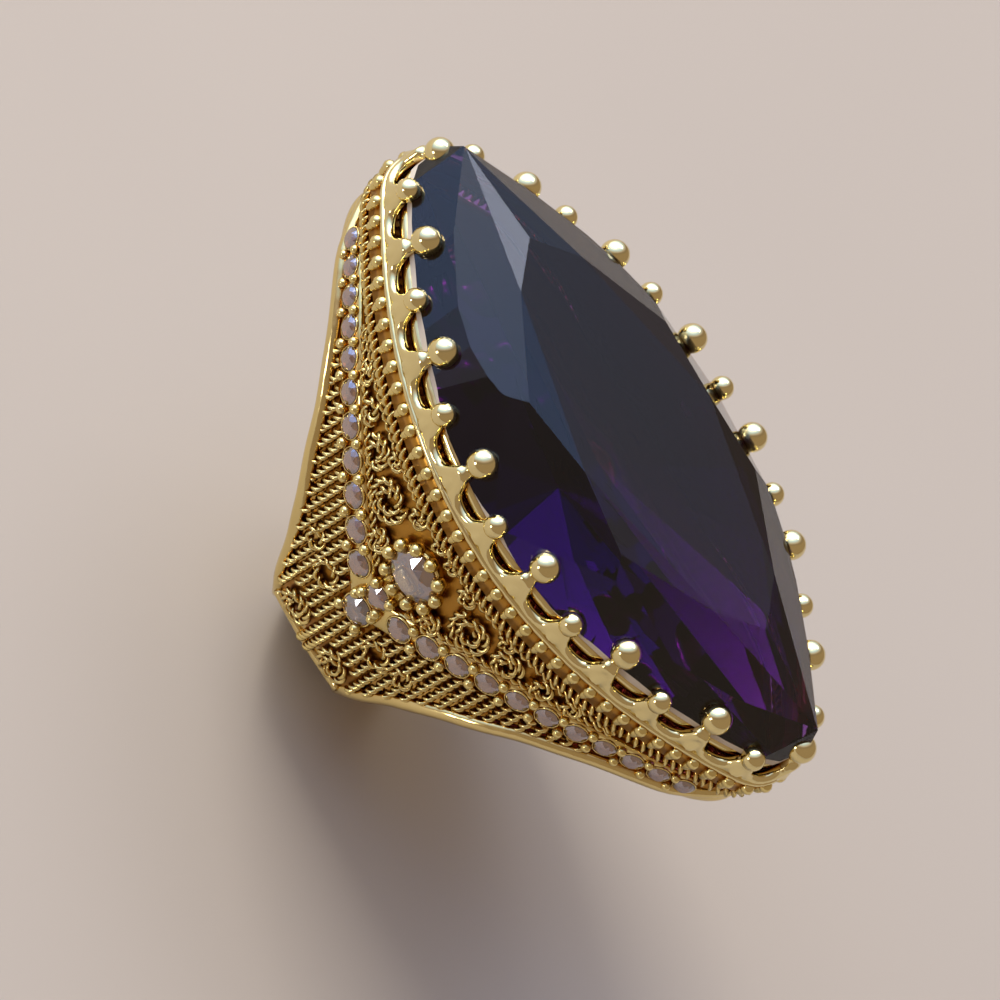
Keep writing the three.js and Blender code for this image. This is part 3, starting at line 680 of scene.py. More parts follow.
def gilt(name, colour, painted_shade_colour, roughness, recess, pit_depth):
    """Gilt casting: warm gold with painted shade that turns it darker and browner in hollows and
    gaps, finely pitted and scuffed.
    """
    material, tree = new_material(name)
    place = node(tree, "ShaderNodeTexCoord").outputs["Object"]
    # painted shade: ambient occlusion within the recess distance picks out hollows and gaps
    occlusion = node(tree, "ShaderNodeAmbientOcclusion", {"Distance": recess * MM}, samples=6)
    depth = node(
        tree,
        "ShaderNodeMapRange",
        {"Value": occlusion.outputs["AO"], "From Min": 0.25, "From Max": 0.8},
        interpolation_type="SMOOTHSTEP",
    ).outputs["Result"]
    duller = [0.86 * c for c in linear(colour)[:3]] + [1]
    varied = blend(tree, noise(tree, place, 260.0, 3.0), linear(colour), duller)
    scuff = noise(tree, place, 2600.0, 4.0)
    swell = bump(tree, noise(tree, place, 700.0, 1.0), 0.6, CAST_SWELL)
    pits = bump(tree, noise(tree, place, 5200.0), 0.5, pit_depth, Normal=swell)
    # base colour: the painted shade colour where the occlusion mask is dark, the varied gold
    # elsewhere
    metal = node(
        tree,
        "ShaderNodeBsdfPrincipled",
        {
            "Base Color": blend(tree, depth, linear(painted_shade_colour), varied),
            "Metallic": 1.0,
            "Roughness": ranged(tree, scuff, roughness * 0.7, roughness * 1.5),
            "Normal": pits,
        },
    )
    node(tree, "ShaderNodeOutputMaterial", {"Surface": metal.outputs["BSDF"]})
    return material


def amethyst():
    """Cut amethyst: clear and deep violet through its thickness, frosted girdle."""
    material, tree = new_material("amethyst")
    place = node(tree, "ShaderNodeTexCoord").outputs["Object"]
    gem = node(
        tree,
        "ShaderNodeBsdfPrincipled",
        {
            "Base Color": linear("#f4ecff"),
            "Roughness": ranged(tree, noise(tree, place, 90.0), 0.0, GEM_HAZE),
            "IOR": 1.55,
            "Transmission Weight": 1.0,
        },
    )
    girdle = node(
        tree,
        "ShaderNodeBsdfPrincipled",
        {"Base Color": linear("#cbbfb0"), "Roughness": 0.45},
    )
    facing = node(tree, "ShaderNodeNewGeometry").outputs["True Normal"]
    upward = node(tree, "ShaderNodeSeparateXYZ", {"Vector": facing}).outputs["Z"]
    is_edge = maths(tree, "LESS_THAN", maths(tree, "ABSOLUTE", upward), GIRDLE_SLOPE)
    depth = node(
        tree,
        "ShaderNodeVolumeAbsorption",
        {"Color": linear("#bc5fd0"), "Density": 500.0},
    )
    node(
        tree,
        "ShaderNodeOutputMaterial",
        {"Surface": mixed(tree, is_edge, gem, girdle), "Volume": depth.outputs["Volume"]},
    )
    return material


def zircon():
    """Cut colourless zircon with bright facets."""
    material, tree = new_material("zircon")
    place = node(tree, "ShaderNodeTexCoord").outputs["Object"]
    gem = node(
        tree,
        "ShaderNodeBsdfPrincipled",
        {
            "Base Color": linear("#dcd6ec"),
            "Roughness": ranged(tree, noise(tree, place, 1500.0), 0.0, GEM_HAZE),
            "IOR": 1.95,
            "Transmission Weight": 1.0,
        },
    )
    flash = node(
        tree,
        "ShaderNodeBsdfAnisotropic",
        {"Color": linear("#f6f4ff"), "Roughness": 0.02},
    )
    body = mixed(tree, ZIRCON_FLASH, gem, flash)
    node(tree, "ShaderNodeOutputMaterial", {"Surface": body})
    return material


# every gilt paints shade into its hollows with its second colour
polished = gilt("polished_gilt", "#f2e1a2", "#c08f3c", 0.1, 0.5, 0.004)
cast = gilt("cast_gilt", "#efda90", "#b88232", 0.15, 0.7, 0.01)
# painted shade: a darker, browner copy of the gilt for the grounds of the belt, the walls and the
# stone seat
painted_shade_gilt = gilt("gilt_painted_in_shade", "#c2903e", "#a06e26", 0.3, 1.2, 0.02)
inner = gilt("worn_gilt", "#ecd692", "#c08f3c", 0.14, 0.8, 0.004)
gem_violet = amethyst()
gem_clear = zircon()


def dress(piece, material, slot, *nodes):
    """Gives a piece its material, its body and the nodes it stands for; the slot argument is not
    used.
    """
    piece.data.materials.clear()
    piece.data.materials.append(material)
    if nodes:
        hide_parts(*nodes)
    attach(piece, "root")
    return piece


# -------- small shapes
BRILLIANT_CULET = -0.84
BRILLIANT_CORNERS = [(0.54, 0.34, 0.5), (0.77, 0.215, 0), (0.24, -0.665, 0.5)]  # table, star, lower
BRILLIANT_GIRDLE = 0.03
COLLAR_SECTION = [  # radius, height
    (1.0, -0.5),
    (1.15, -0.5),
    (1.15, -0.08),
    (1.12, -0.01),
    (1.06, 0.01),
    (1.0, -0.04),
]
COLLAR_SIDES = 20
SKEW = [0.3, 0.8, 0.5]  # a direction that no bar here runs along


def bead_shape(name, rings=8, sides=14):
    """A unit ball."""
    work = bmesh.new()
    bmesh.ops.create_uvsphere(work, u_segments=sides, v_segments=rings, radius=MM)
    return shape_object(name, work, True)


def brilliant_shape(name):
    """A round brilliant of unit girdle radius: table up, culet down."""
    points = [(0, 0, BRILLIANT_CULET)]
    eighth = math.pi / 4
    for k in range(8):
        for reach, height, shift in BRILLIANT_CORNERS:
            a = (k + shift) * eighth
            points.append((reach * math.cos(a), reach * math.sin(a), height))
    for k in range(16):
        a = k * eighth / 2
        points.append((math.cos(a), math.sin(a), BRILLIANT_GIRDLE))
        points.append((math.cos(a), math.sin(a), -BRILLIANT_GIRDLE))
    work = bmesh.new()
    for point in points:
        work.verts.new(Vector(point) * MM)
    bmesh.ops.convex_hull(work, input=work.verts)
    return shape_object(name, work, False)


def collar_shape(name):
    """A short ring that holds a stone: bore of unit radius, rounded lip."""
    loops = []
    for k in range(COLLAR_SIDES):
        a = 2 * math.pi * k / COLLAR_SIDES
        loops.append([(r * math.cos(a), r * math.sin(a), h) for r, h in COLLAR_SECTION])
    return make_object(name, *loft(loops, True))


def shape_object(name, work, smooth):
    mesh = bpy.data.meshes.new(name)
    bmesh.ops.recalc_face_normals(work, faces=work.faces)
    work.to_mesh(mesh)
    work.free()
    mesh.shade_smooth() if smooth else mesh.shade_flat()
    made = bpy.data.objects.new(name, mesh)
    bpy.context.scene.collection.objects.link(made)
    return made


# -------- crown of prongs
def ball_centre(i):
    u = i / PRONG_COUNT
    if i % 2:
        return outline_at(u, -LARGE_BALL_LEAN, PRONG_Z + LARGE_BALL_RISE)
    return outline_at(u, 0.0, PRONG_Z)


def rod(start, end, start_radius, end_radius, sides=16):
    """A tapering round bar between two points."""
    along = (end - start) / np.linalg.norm(end - start)
    side = np.cross(along, SKEW)
    side /= np.linalg.norm(side)
    other = np.cross(along, side)
    angle = np.linspace(0, 2 * np.pi, sides, endpoint=False)[:, None]
    circle = np.cos(angle) * side + np.sin(angle) * other
    return loft([start + circle * start_radius, end + circle * end_radius], False)


def tube(path, radii, sides=12, closed=False):
    """A round bar of changing radius along a path."""
    if closed:
        along = np.roll(path, -1, axis=0) - np.roll(path, 1, axis=0)
    else:
        along = np.gradient(path, axis=0)
    along /= np.linalg.norm(along, axis=1, keepdims=True)
    side = np.empty_like(along)
    side[0] = np.cross(along[0], SKEW)
    for i in range(1, len(path)):
        side[i] = side[i - 1] - along[i] * (side[i - 1] @ along[i])
    side -= along * np.sum(side * along, axis=1, keepdims=True)
    side /= np.linalg.norm(side, axis=1, keepdims=True)
    other = np.cross(along, side)
    angle = np.linspace(0, 2 * np.pi, sides, endpoint=False)
    ring = np.multiply.outer(side, np.cos(angle)) + np.multiply.outer(other, np.sin(angle))
    ring = ring.transpose(0, 2, 1) * np.asarray(radii)[:, None, None]
    return loft(path[:, None] + ring, closed)


def prong_crown():
    """The cast arcade: a band whose top edge dips in a round arch between prongs."""
    stations = PRONG_COUNT * ARCH_STEPS
    u = np.arange(stations) / stations
    in_arch = np.abs((u * PRONG_COUNT) % 1 - 0.5) * 2
    arch = np.minimum(in_arch / ARCH_SHARE, 1)
    top = ARCH_TOP_Z - ARCH_DEPTH * (1 - arch**ARCH_POWER) ** (1 / ARCH_POWER)
    half = ARCADE_WALL / 2
    edges = [
        outline_at(u, half, ARCADE_LOW_Z),
        outline_at(u, half, top),
        outline_at(u, -half, top),
        outline_at(u, -half, ARCADE_LOW_Z),
    ]
    parts = [loft(np.stack(edges, 1), True)]
    lip = outline_at(u, ARCH_LIP_OUT, top - ARCH_LIP_DROP)
    parts.append(tube(lip, np.full(stations, ARCH_LIP_RADIUS), closed=True))
    for i in range(PRONG_COUNT):
        u_prong = i / PRONG_COUNT
        foot = outline_at(u_prong, NECK_FOOT_OUT, ARCADE_LOW_Z + NECK_FOOT_RISE)
        waist = outline_at(u_prong, 0.0, ARCH_TOP_Z - WAIST_DROP)
        start = waist - [0, 0, WAIST_OVERLAP]
        parts.append(rod(foot, waist, NECK_FOOT_RADIUS, NECK_FOOT_RADIUS * NECK_WAIST))
        parts.append(rod(start, ball_centre(i), NECK_FOOT_RADIUS * NECK_START, NECK_RADIUS))
    vertices, faces = merged(parts)
    rough = make_object("crown_rough", vertices, faces)
    remesh = rough.modifiers.new("cast", "REMESH")
    remesh.mode = "VOXEL"
    remesh.voxel_size = CAST_VOXEL * MM
    remesh.use_smooth_shade = True
    soften = rough.modifiers.new("soften", "SMOOTH")
    soften.factor = 0.6
    soften.iterations = 5
    return baked(rough, "prong_arcade")


dress(prong_crown(), polished, "gilt_metal", "prong_crown")

strip_section = box_section(BEZEL_INNER, BEZEL_OUTER, BEZEL_LOW_Z, BEZEL_TOP_Z)
strip = outline_band("bezel_strip", strip_section)
dress(strip, polished, "gilt_metal")

ball_places = []
for i in range(PRONG_COUNT):
    radius = LARGE_BALL_RADIUS if i % 2 else SMALL_BALL_RADIUS
    ball_places.append((ball_centre(i), np.eye(3), (radius,) * 3))
balls = scatter("prong_balls", bead_shape("ball", 16, 28), ball_places, polished)
dress(balls, polished, "gilt_metal")

# -------- granule belt and rope
belt_half = BELT_WALL / 2
belt_section = box_section(-belt_half, belt_half, BELT_LOW_Z, BELT_TOP_Z)
belt = outline_band("belt_ground", belt_section)
dress(belt, painted_shade_gilt, "gilt_metal", "granule_belt")

ledge_u = np.arange(OUTLINE_STEPS) / OUTLINE_STEPS
ledge_path = outline_at(ledge_u, belt_half, BELT_TOP_Z + LEDGE_RISE)
ledge_radii = np.full(OUTLINE_STEPS, LEDGE_RADIUS)
ledge = make_object("belt_ledge", *tube(ledge_path, ledge_radii, 10, closed=True))
dress(ledge, polished, "gilt_metal")

granule_places = []
for i in range(GRANULE_COUNT):
    u = (i + 0.5) / GRANULE_COUNT
    out = outline_at(u, belt_half + 1, 0.0) - outline_at(u, belt_half, 0.0)
    axes = np.stack([out, np.cross([0, 0, 1], out), [0, 0, 1]], -1)
    stem_z = (BELT_LOW_Z + BELT_TOP_Z) / 2 - GRANULE_STEM_DROP
    stem = outline_at(u, belt_half + GRANULE_STEM_OUT, stem_z)
    granule_places.append((stem, axes, GRANULE_STEM))
    ball = outline_at(u, belt_half + GRANULE_OUT, BELT_TOP_Z - GRANULE_DROP)
    granule_places.append((ball, axes, (GRANULE_RADIUS,) * 3))
granules = scatter("belt_granules", bead_shape("granule", 8, 12), granule_places, cast)
dress(granules, cast, "gilt_metal")

rope_u = np.arange(ROPE_STEPS) / ROPE_STEPS
rope = wires(
    "girdle_twisted_rope",
    [outline_at(rope_u, ROPE_OUT, ROPE_Z)],
    ROPE_RADIUS,
    PERIMETER / ROPE_TURNS,
    cast,
    closed=True,
)
dress(rope, cast, "gilt_metal", "girdle_rope")


# -------- shoulder walls
def shoulder_wall():
    """The front wall as one sheet."""
    share = np.linspace(-1, 1, WALL_COLUMNS)
    level = 1 - (1 - np.linspace(0, 1, WALL_ROWS)) ** WALL_ROW_BIAS
    heights = -SHOULDER_LOW + (WALL_TOP_Z + SHOULDER_LOW) * level
    outer, behind = [], []
    for z in heights:
        u = share * wall_reach(z)
        outer.append(wall_at(u, z))
        back = wall_at(u, z, -WALL_THICKNESS)
        back[:, 0] = np.maximum(back[:, 0], sleeve_front(back[:, 1], z))
        behind.append(back)
    return sheet(np.array(outer), np.array(behind))


walls = make_object("shoulder_wall_ground", *both_sides(shoulder_wall()))
dress(walls, painted_shade_gilt, "gilt_metal", "front_shoulder_wall", "back_shoulder_wall")


# -------- small stones
arm = row_stones()
stones = [(0.0, z, radius) for z, radius in CENTRE_STONES]
stones += [(sign * y, z, radius) for sign in (1, -1) for y, z, radius in arm]
stone_places = on_both_walls([wall_place(y, z, STONE_LIFT, (r, r, r)) for y, z, r in stones])


def zircon_rail():
    """A low raised strip under each arm of the row and down the middle."""

    def strip(y, z, half):
        point, along, up, out = wall_frames(y, z)
        path = np.gradient(point, axis=0)
        path /= np.linalg.norm(path, axis=1, keepdims=True)
        across = np.cross(out, path)
        loops = [
            point + across * (half * side)[:, None] + out * (RAIL_LIFT + lift)
            for side, lift in RAIL_SECTION
        ]
        return loft(np.stack(loops, 1), False)

    y = np.linspace(0, arm[-1][0] + RAIL_PAST_END, RAIL_POINTS)
    half = ROW_STONE_RADIUS + (TIP_STONE_RADIUS - ROW_STONE_RADIUS) * y / ROW_REACH
    parts = [strip(sign * y, row_height(y), half + RAIL_MARGIN) for sign in (1, -1)]
    spine = np.linspace(APEX_ZIRCON[0], CENTRE_ZIRCON[0], SPINE_POINTS)
    half = np.full(SPINE_POINTS, LINK_ZIRCON[1])
    parts.append(strip(np.zeros(SPINE_POINTS), spine, half))
    return merged(parts)


rail = make_object("zircon_rail_strip", *both_sides(zircon_rail()))
dress(rail, cast, "gilt_metal", "front_zircon_rail", "back_zircon_rail")

collar = scatter("zircon_collars", collar_shape("collar"), stone_places, cast)
dress(collar, cast, "gilt_metal")

zircon_nodes = [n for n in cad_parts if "zircon" in n and "rail" not in n]
cut_stones = scatter("cut_zircons", brilliant_shape("brilliant"), stone_places, gem_clear)
dress(cut_stones, gem_clear, "white_zircon", *zircon_nodes)


def bead_places():
    """Beads that hold the stones: a pair in each gap of the row, rings at the centre."""
    places = []
    for sign in (1, -1):
        for (y0, z0, r0), (y1, z1, r1) in zip(arm, arm[1:]):
            slope = (z1 - z0) / (y1 - y0)
            reach = r0 * ROW_BEAD_REACH / math.hypot(1, slope)
            size = ROW_BEAD_RADIUS * (r0 + r1) / (2 * ROW_STONE_RADIUS)
            sizes = (size, size, size * ROW_BEAD_RISE)
            for side in (1, -1):
                y = (y0 + y1) / 2 - side * slope * reach
                z = (z0 + z1) / 2 + side * reach
                places.append(wall_place(sign * y, z, ROW_BEAD_LIFT, sizes))
    for (height, radius), (count, size) in zip(CENTRE_STONES, CENTRE_BEADS):
        reach = radius + CENTRE_BEAD_GAP
        sizes = (size, size, size * CENTRE_BEAD_RISE)
        for k in range(count):
            a = 2 * math.pi * (k + 0.5) / count
            y, z = reach * math.cos(a), height + reach * math.sin(a)
            places.append(wall_place(y, z, CENTRE_BEAD_LIFT, sizes))
    return places


beads = scatter("setting_beads", bead_shape("bead"), on_both_walls(bead_places()), cast)
dress(beads, cast, "gilt_metal")

# -------- twisted wire work
OPENINGS = [(2.9, 1.3, 0.85), (5.0, 1.9, 0.6)]  # y, z, radius of the dark eyes
BESIDE_GAP = 0.34  # from the row's stones to a wire beside them
APEX_GAP = 0.4
FIELD_WIRES = 27
FIELD_TOP_GAP = 0.1
FIELD_LIFT = 0.26
FIELD_POINTS = 24
RIM_SIDE_GAP = 0.2
RIM_GAP = 0.5
EYE_GAP = 0.25
EYES = [(*opening, 1.0, 1.2, 0.95) for opening in OPENINGS]  # as curls
SHORTEST_WIRE = 0.5
SCROLL_SIDE_GAP = 0.1
SCROLL_TOP_GAP = 0.2
SCROLL_LIFT = 0.34
SCROLL_POINTS = 60
SCROLL_WIRE = 0.9  # share of the field wire's radius
FRAME_POINTS = 80
LOW_SCROLL = (2.25, -3.0, 1.3, 1.9, 1.6, 0.26)  # as a curl
FRAME_SPAN = (1.7, 14.3)  # the wire over the row of stones: first and last y
FRAME_GAP = 0.12
FRAME_LIFT = 0.22
FRAME_TOP_Z = 11.74  # the wire under the girdle rope
CURLS = [  # y, z, radius, turns, start angle, inner share of the radius
    (4.75, 9.45, 1.5, 1.9, 2.4, 0.3),
    (7.4, 10.0, 1.05, 1.5, 0.4, 0.35),
    (9.7, 10.75, 0.75, 1.3, 3.4, 0.4),
    (11.7, 11.1, 0.55, 1.2, 0.6, 0.5),
    (3.0, 6.95, 0.8, 1.4, 1.0, 0.4),
    (2.8, 11.25, 0.65, 1.3, 2.0, 0.4),
    (6.35, 11.45, 0.5, 1.2, 2.6, 0.5),
    (0.75, 11.65, 0.45, 1.1, 2.0, 0.5),
]


def beside_row(y):
    """How far above or below the middle of the row of stones a wire beside it lies."""
    slope = 2 * ROW_FALL * (1 - np.abs(y) / ROW_REACH) / ROW_REACH
    half = ROW_STONE_RADIUS + (TIP_STONE_RADIUS - ROW_STONE_RADIUS) * np.abs(y) / ROW_REACH
    return (half + BESIDE_GAP) * np.hypot(1, slope)


def under_row(y):
    """Height of the lower edge of the row of stones, and of the apex stone at the middle."""
    side = row_height(y) - beside_row(y)
    height, radius = APEX_ZIRCON
    reach = radius + APEX_GAP
    dip = np.sqrt(np.maximum(reach**2 - np.abs(y) ** 2, 0))
    return np.where(np.abs(y) < reach, np.minimum(side, height - dip), side)


def field_paths():
    """Straight wires side by side from the row down to the shoulder's edge."""
    paths = []
    scroll_y, scroll_z, scroll_radius = LOW_SCROLL[:3]
    for k in range(FIELD_WIRES):
        y = (k + 0.5) * WIRE_PITCH
        top = float(under_row(y)) + FIELD_TOP_GAP
        low = -SHOULDER_LOW
        if y > BAND_HALF_WIDTH:
            low = float(rim_height(y + RIM_SIDE_GAP)) + RIM_GAP
        if abs(y - scroll_y) < scroll_radius + SCROLL_SIDE_GAP:
            low = scroll_z + scroll_radius + SCROLL_TOP_GAP
        spans = [(top, low)]
        for eye_y, eye_z, radius in OPENINGS:
            if abs(y - eye_y) < radius:
                half = math.sqrt(radius**2 - (y - eye_y) ** 2) + EYE_GAP
                spans = [(top, eye_z + half), (eye_z - half, low)]
        for high_end, low_end in spans:
            if high_end - low_end < SHORTEST_WIRE:
                continue
            z = np.linspace(high_end, low_end, FIELD_POINTS)
            for sign in (1, -1):
                paths.append(on_shoulder(np.full(FIELD_POINTS, sign * y), z, FIELD_LIFT))
    return paths


def scroll(y, z, radius, turns, start, inner_share, hand):
    """A spiral of wire on the wall round a centre."""
    t = np.linspace(0, 1, SCROLL_POINTS)
    angle = start + hand * t * turns * 2 * np.pi
    reach = radius * (1 - (1 - inner_share) * t)
    path_y, path_z = y + reach * np.cos(angle), z + reach * np.sin(angle)
    return on_shoulder(path_y, path_z, SCROLL_LIFT)


def scroll_paths():
    """Curls, eyes and the wires that frame them under the girdle and over the row."""
    paths = []
    for sign in (1, -1):
        for y, z, radius, turns, start, share in CURLS + [LOW_SCROLL] + EYES:
            begin = start if sign > 0 else math.pi - start
            paths.append(scroll(sign * y, z, radius, turns, begin, share, sign))
        y = np.linspace(*FRAME_SPAN, FRAME_POINTS)
        over = row_height(y) + beside_row(y) + FRAME_GAP
        paths.append(on_shoulder(sign * y, over, FRAME_LIFT))
    y = np.linspace(-FRAME_SPAN[1], FRAME_SPAN[1], 2 * FRAME_POINTS)
    paths.append(on_shoulder(y, np.full(2 * FRAME_POINTS, FRAME_TOP_Z), FRAME_LIFT))
    return paths


def eased(path, reach):
    """The same path with each point moved to the mean of its neighbours."""
    padded = np.pad(path, ((reach, reach), (0, 0)), "reflect", reflect_type="odd")
    kernel = np.full(2 * reach + 1, 1 / (2 * reach + 1))
    return np.stack([np.convolve(padded[:, k], kernel, "valid") for k in range(3)], -1)


def edge_paths():
    """The smooth raised edge of the shoulders, and on round both sides of the band."""
    heights = np.linspace(WALL_TOP_Z - EDGE_TOP_GAP, -SHOULDER_LOW, 90)
    reach = np.minimum(wall_u(shoulder_half_width(heights)), TIP_REACH)
    wall = wall_at(reach, heights, -EDGE_SINK)
    sleeve = sleeve_front(wall[:, 1], heights) - WALL_GAP
    wall[:, 0] = np.maximum(wall[:, 0], sleeve)
    angle = np.linspace(math.acos(-SHOULDER_LOW / BAND_RADIUS), math.pi, 40)[1:]
    deeper = smoothstep(angle, angle[0], angle[0] + BAND_EDGE_DEEPER_BY)
    radius = BAND_RADIUS - BAND_EDGE_SINK - BAND_EDGE_DEEPER * deeper
    side = np.full(len(angle), BAND_HALF_WIDTH - BAND_EDGE_INSET)
    under = np.stack([radius * np.sin(angle), side, radius * np.cos(angle)], -1)
    half = eased(np.concatenate([wall, under]), EDGE_EASE)
    low, high = len(wall) - EDGE_SLIM_REACH, len(wall) + EDGE_SLIM_REACH
    slim = smoothstep(np.arange(len(half)), low, high)
    half_radii = EDGE_RADIUS + (BAND_EDGE_RADIUS - EDGE_RADIUS) * slim
    path = np.concatenate([half, half[-2::-1] * [-1, 1, 1]])
    return path, np.concatenate([half_radii, half_radii[-2::-1]])


def foot_bar():
    """The bar across the low end of a shoulder."""
    y = np.linspace(-BAND_HALF_WIDTH, BAND_HALF_WIDTH, 30)
    z = FOOT_BAR_Z - FOOT_BAR_DIP * np.cos(y / BAND_HALF_WIDTH * math.pi / 2)
    path = np.stack([np.sqrt(BAND_RADIUS**2 - z**2) - FOOT_BAR_SINK, y, z], -1)
    return tube(path, np.full(len(path), FOOT_BAR_RADIUS), EDGE_SIDES)


edge_path, edge_radii = edge_paths()
edge_tubes = [tube(edge_path * [1, side, 1], edge_radii, EDGE_SIDES) for side in (1, -1)]
edge = make_object("shoulder_edges", *merged(edge_tubes + [both_sides(foot_bar())]))
dress(edge, inner, "gilt_metal")

field = field_paths()
field += [turned_back(path) for path in field]
wire_field = wires("shoulder_wire_field", field, WIRE_RADIUS, WIRE_TWIST, cast)
dress(wire_field, cast, "gilt_metal", "front_wire_field", "back_wire_field")

curls = scroll_paths()
curls += [turned_back(path) for path in curls]
scrolls = wires("shoulder_scrolls", curls, WIRE_RADIUS * SCROLL_WIRE, WIRE_TWIST, cast)
dress(scrolls, cast, "gilt_metal")


# -------- sleeve and band
def sleeve_half_width(angle):
    """Half the sleeve's width at an angle from straight up, found by halving the error."""
    half = HEAD_TIP
    for _ in range(40):
        half = (half + float(shoulder_half_width(sleeve_radius(half) * math.cos(angle)))) / 2
    return half + RIM_PROUD


def finger_sleeve():
    """The inner shell: a flared tube with rounded rims and light holes under the stone."""
    loops = []
    for i in range(SLEEVE_STEPS):
        angle = 2 * math.pi * i / SLEEVE_STEPS
        half = sleeve_half_width(math.atan2(abs(math.sin(angle)), math.cos(angle)))
        turn = np.linspace(-np.pi / 2, np.pi / 2, SLEEVE_COLUMNS)
        line = (half - RIM_ROUND) * np.sin(turn)
        rim = np.linspace(0, np.pi, 9)[1:-1]
        thick = SLEEVE_WALL / 2
        y = np.r_[line, half - RIM_ROUND + RIM_ROUND * np.sin(rim)]
        y = np.r_[y, line[::-1], -(half - RIM_ROUND + RIM_ROUND * np.sin(rim))]
        outer = sleeve_radius(line)
        end = sleeve_radius(half) - thick
        around = end + thick * np.cos(rim)
        radius = np.r_[outer, around, (outer - SLEEVE_WALL)[::-1], around[::-1]]
        loops.append(np.c_[radius * math.sin(angle), y, radius * math.cos(angle)])
    sleeve = make_object("sleeve_rough", *loft(loops, True))
    drills = []
    for k in range(LIGHT_HOLE_COUNT):
        y = (k - (LIGHT_HOLE_COUNT - 1) / 2) * LIGHT_HOLE_PITCH
        low, high = (np.array([0, y, z]) for z in LIGHT_HOLE_SPAN)
        drills.append(rod(low, high, LIGHT_HOLE_RADIUS, LIGHT_HOLE_RADIUS, 40))
    drill = make_object("light_holes", *merged(drills))
    bore = sleeve.modifiers.new("light_holes", "BOOLEAN")
    bore.operation = "DIFFERENCE"
    bore.solver = "EXACT"
    bore.object = drill
    made = baked(sleeve, "finger_sleeve_shell")
    bpy.data.objects.remove(drill)
    return made


dress(finger_sleeve(), inner, "gilt_metal", "finger_sleeve")


def lower_band():
    """The outer band below the shoulders, flat where the ring stands."""
    reach = math.acos(-SHOULDER_LOW / BAND_RADIUS) - BAND_UNDER_SHOULDER
    low = FINGER_RADIUS + SLEEVE_WALL + BAND_CLEARANCE
    side = np.linspace(-1, 1, BAND_COLUMNS)
    bulge = np.sqrt(np.maximum(1 - np.abs(side) ** BAND_CROWN_POWER, 0))
    radius = np.r_[low + (BAND_RADIUS - low) * bulge, low - 0.02, low - 0.02]
    y = BAND_HALF_WIDTH * np.r_[side, BAND_INNER_SHARE, -BAND_INNER_SHARE]
    loops = []
    for angle in np.linspace(reach, 2 * math.pi - reach, BAND_STEPS):
        z = np.maximum(radius * math.cos(angle), BAND_FLAT_Z)
        loops.append(np.c_[radius * math.sin(angle), y, z])
    return loft(loops, False)


band = make_object("lower_band_shell", *lower_band())
dress(band, inner, "gilt_metal", "lower_band")

# -------- kept CAD pieces
for name, material, slot in (
    ("main_stone", gem_violet, "amethyst"),
    ("stone_seat", painted_shade_gilt, "gilt_metal"),
):
    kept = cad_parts[name]
    kept.data.materials.clear()
    kept.data.materials.append(material)

# -------- floor, light and camera
def pale_floor():
    material, tree = new_material("pale_floor")
    place = node(tree, "ShaderNodeTexCoord").outputs["Object"]
    tint = blend(tree, noise(tree, place, 14.0), linear("#a3978a"), linear("#ab9f91"))
    matte = node(tree, "ShaderNodeBsdfPrincipled", {"Base Color": tint, "Roughness": 0.8})
    node(tree, "ShaderNodeOutputMaterial", {"Surface": matte.outputs["BSDF"]})
    return material


HALF_FLOOR = 3000.0
FLOOR_Z = BAND_FLAT_Z - 0.02
corners = [(-1, -1), (1, -1), (1, 1), (-1, 1)]
floor_points = [(x * HALF_FLOOR, y * HALF_FLOOR, FLOOR_Z) for x, y in corners]
floor = make_object("floor", floor_points, [(0, 1, 2, 3)], smooth=False)
floor.data.materials.append(pale_floor())


def direction(azimuth, elevation):
    """A unit vector: azimuth turns from +X towards +Y."""
    a, e = math.radians(azimuth), math.radians(elevation)
    return Vector((math.cos(e) * math.cos(a), math.cos(e) * math.sin(a), math.sin(e)))


def softbox(name, azimuth, elevation, distance, width, height, power, colour):
    light = bpy.data.lights.new(name, "AREA")
    light.shape = "RECTANGLE"
    light.size = width
    light.size_y = height
    light.energy = power
    light.color = linear(colour)[:3]
    lamp = bpy.data.objects.new(name, light)
    back = direction(azimuth, elevation)
    lamp.location = back * distance
    lamp.rotation_euler = back.to_track_quat("Z", "Y").to_euler()
    bpy.context.scene.collection.objects.link(lamp)


softbox("key_softbox", -100, 46, 0.8, 0.3, 0.3, 4.5, "#fffdf8")
softbox("back_softbox", -146, 50, 0.8, 0.34, 0.34, 1.3, "#f0f2ff")
softbox("low_softbox", -24, 6, 0.8, 0.14, 0.14, 0.8, "#ffffff")

SKY_MIDDLE = (-0.2, -0.8, 0.566)

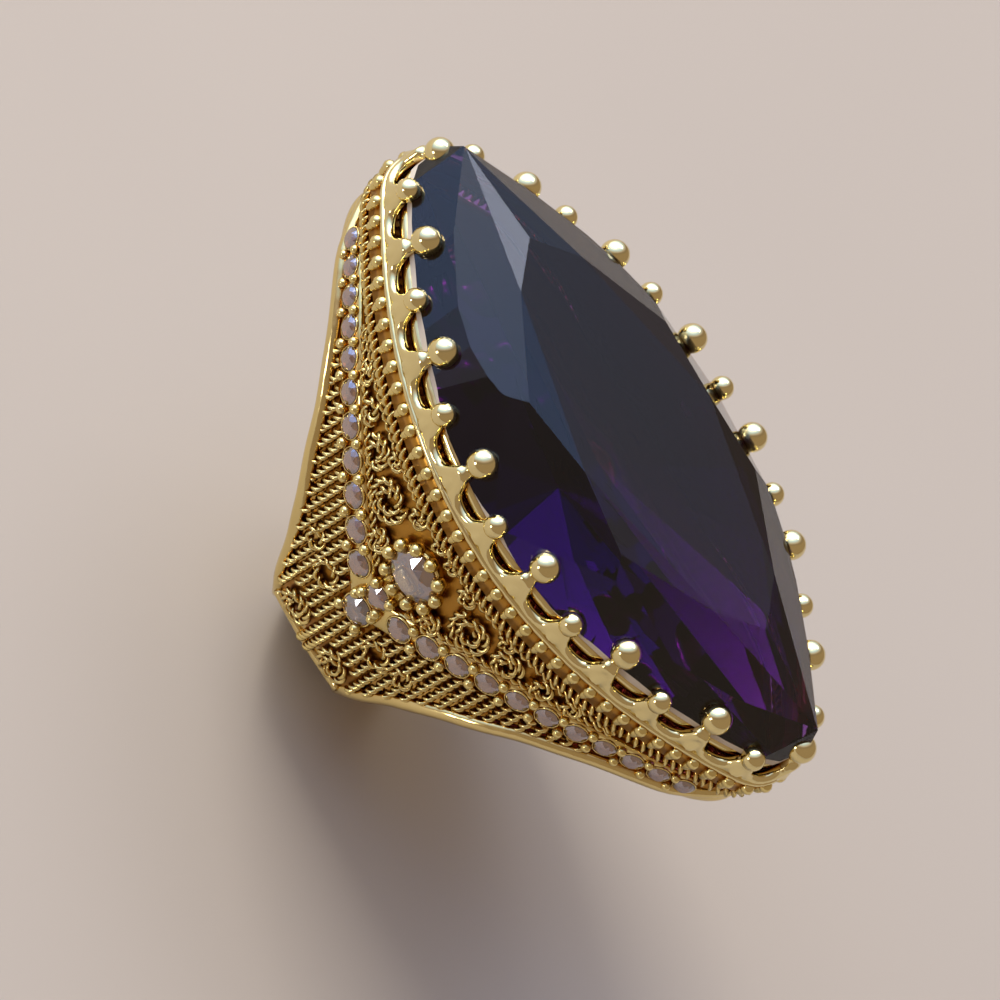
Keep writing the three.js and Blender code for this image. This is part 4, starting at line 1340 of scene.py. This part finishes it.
DOME_STEPS = [  # cosine of the angle from the dome's middle, colour
    (0.36, "#4d443e"),
    (0.5, "#6c656a"),
    (0.6, "#70788c"),
    (0.7, "#788ab0"),
    (0.82, "#94a6cc"),
]


def studio_dome():
    """A soft dome: bright and cool round its middle, dim and warm on the far side."""
    world = bpy.data.worlds.new("studio")
    world.use_nodes = True
    tree = world.node_tree
    tree.nodes.clear()
    facing = node(tree, "ShaderNodeTexCoord").outputs["Generated"]
    towards = node(tree, "ShaderNodeVectorMath", operation="DOT_PRODUCT")
    tree.links.new(facing, towards.inputs[0])
    towards.inputs[1].default_value = SKY_MIDDLE
    ramp = node(tree, "ShaderNodeValToRGB", {"Fac": towards.outputs["Value"]})
    ramp.color_ramp.elements[0].position = 0.15
    ramp.color_ramp.elements[0].color = linear("#574c42")
    ramp.color_ramp.elements[1].position = 0.96
    ramp.color_ramp.elements[1].color = linear("#ffffff")
    for position, colour in DOME_STEPS:
        stop = ramp.color_ramp.elements.new(position)
        stop.color = linear(colour)
    light = node(
        tree, "ShaderNodeBackground", {"Color": ramp.outputs["Color"], "Strength": 3.6}
    )
    node(tree, "ShaderNodeOutputWorld", {"Surface": light.outputs["Background"]})
    bpy.context.scene.world = world


studio_dome()

CAMERA_TARGET = Vector((0.75, -1.2, 7.26)) * MM
CAMERA_DISTANCE = 0.3208
CAMERA_AZIMUTH = -0.16
CAMERA_ELEVATION = 45.67
CAMERA_ROLL = 58.87
lens = bpy.data.cameras.new("camera")
lens.sensor_width = 36.0
lens.lens = 186.47
lens.clip_start = 0.01
lens.clip_end = 20.0
camera = bpy.data.objects.new("camera", lens)
back = direction(CAMERA_AZIMUTH, CAMERA_ELEVATION)
level = back.to_track_quat("Z", "Y").to_matrix().to_4x4()
roll = Matrix.Rotation(math.radians(CAMERA_ROLL), 4, "Z")
camera.matrix_world = Matrix.Translation(CAMERA_TARGET + back * CAMERA_DISTANCE) @ level @ roll
bpy.context.scene.collection.objects.link(camera)
bpy.context.scene.camera = camera

view_settings = bpy.context.scene.view_settings
view_settings.view_transform = "Standard"
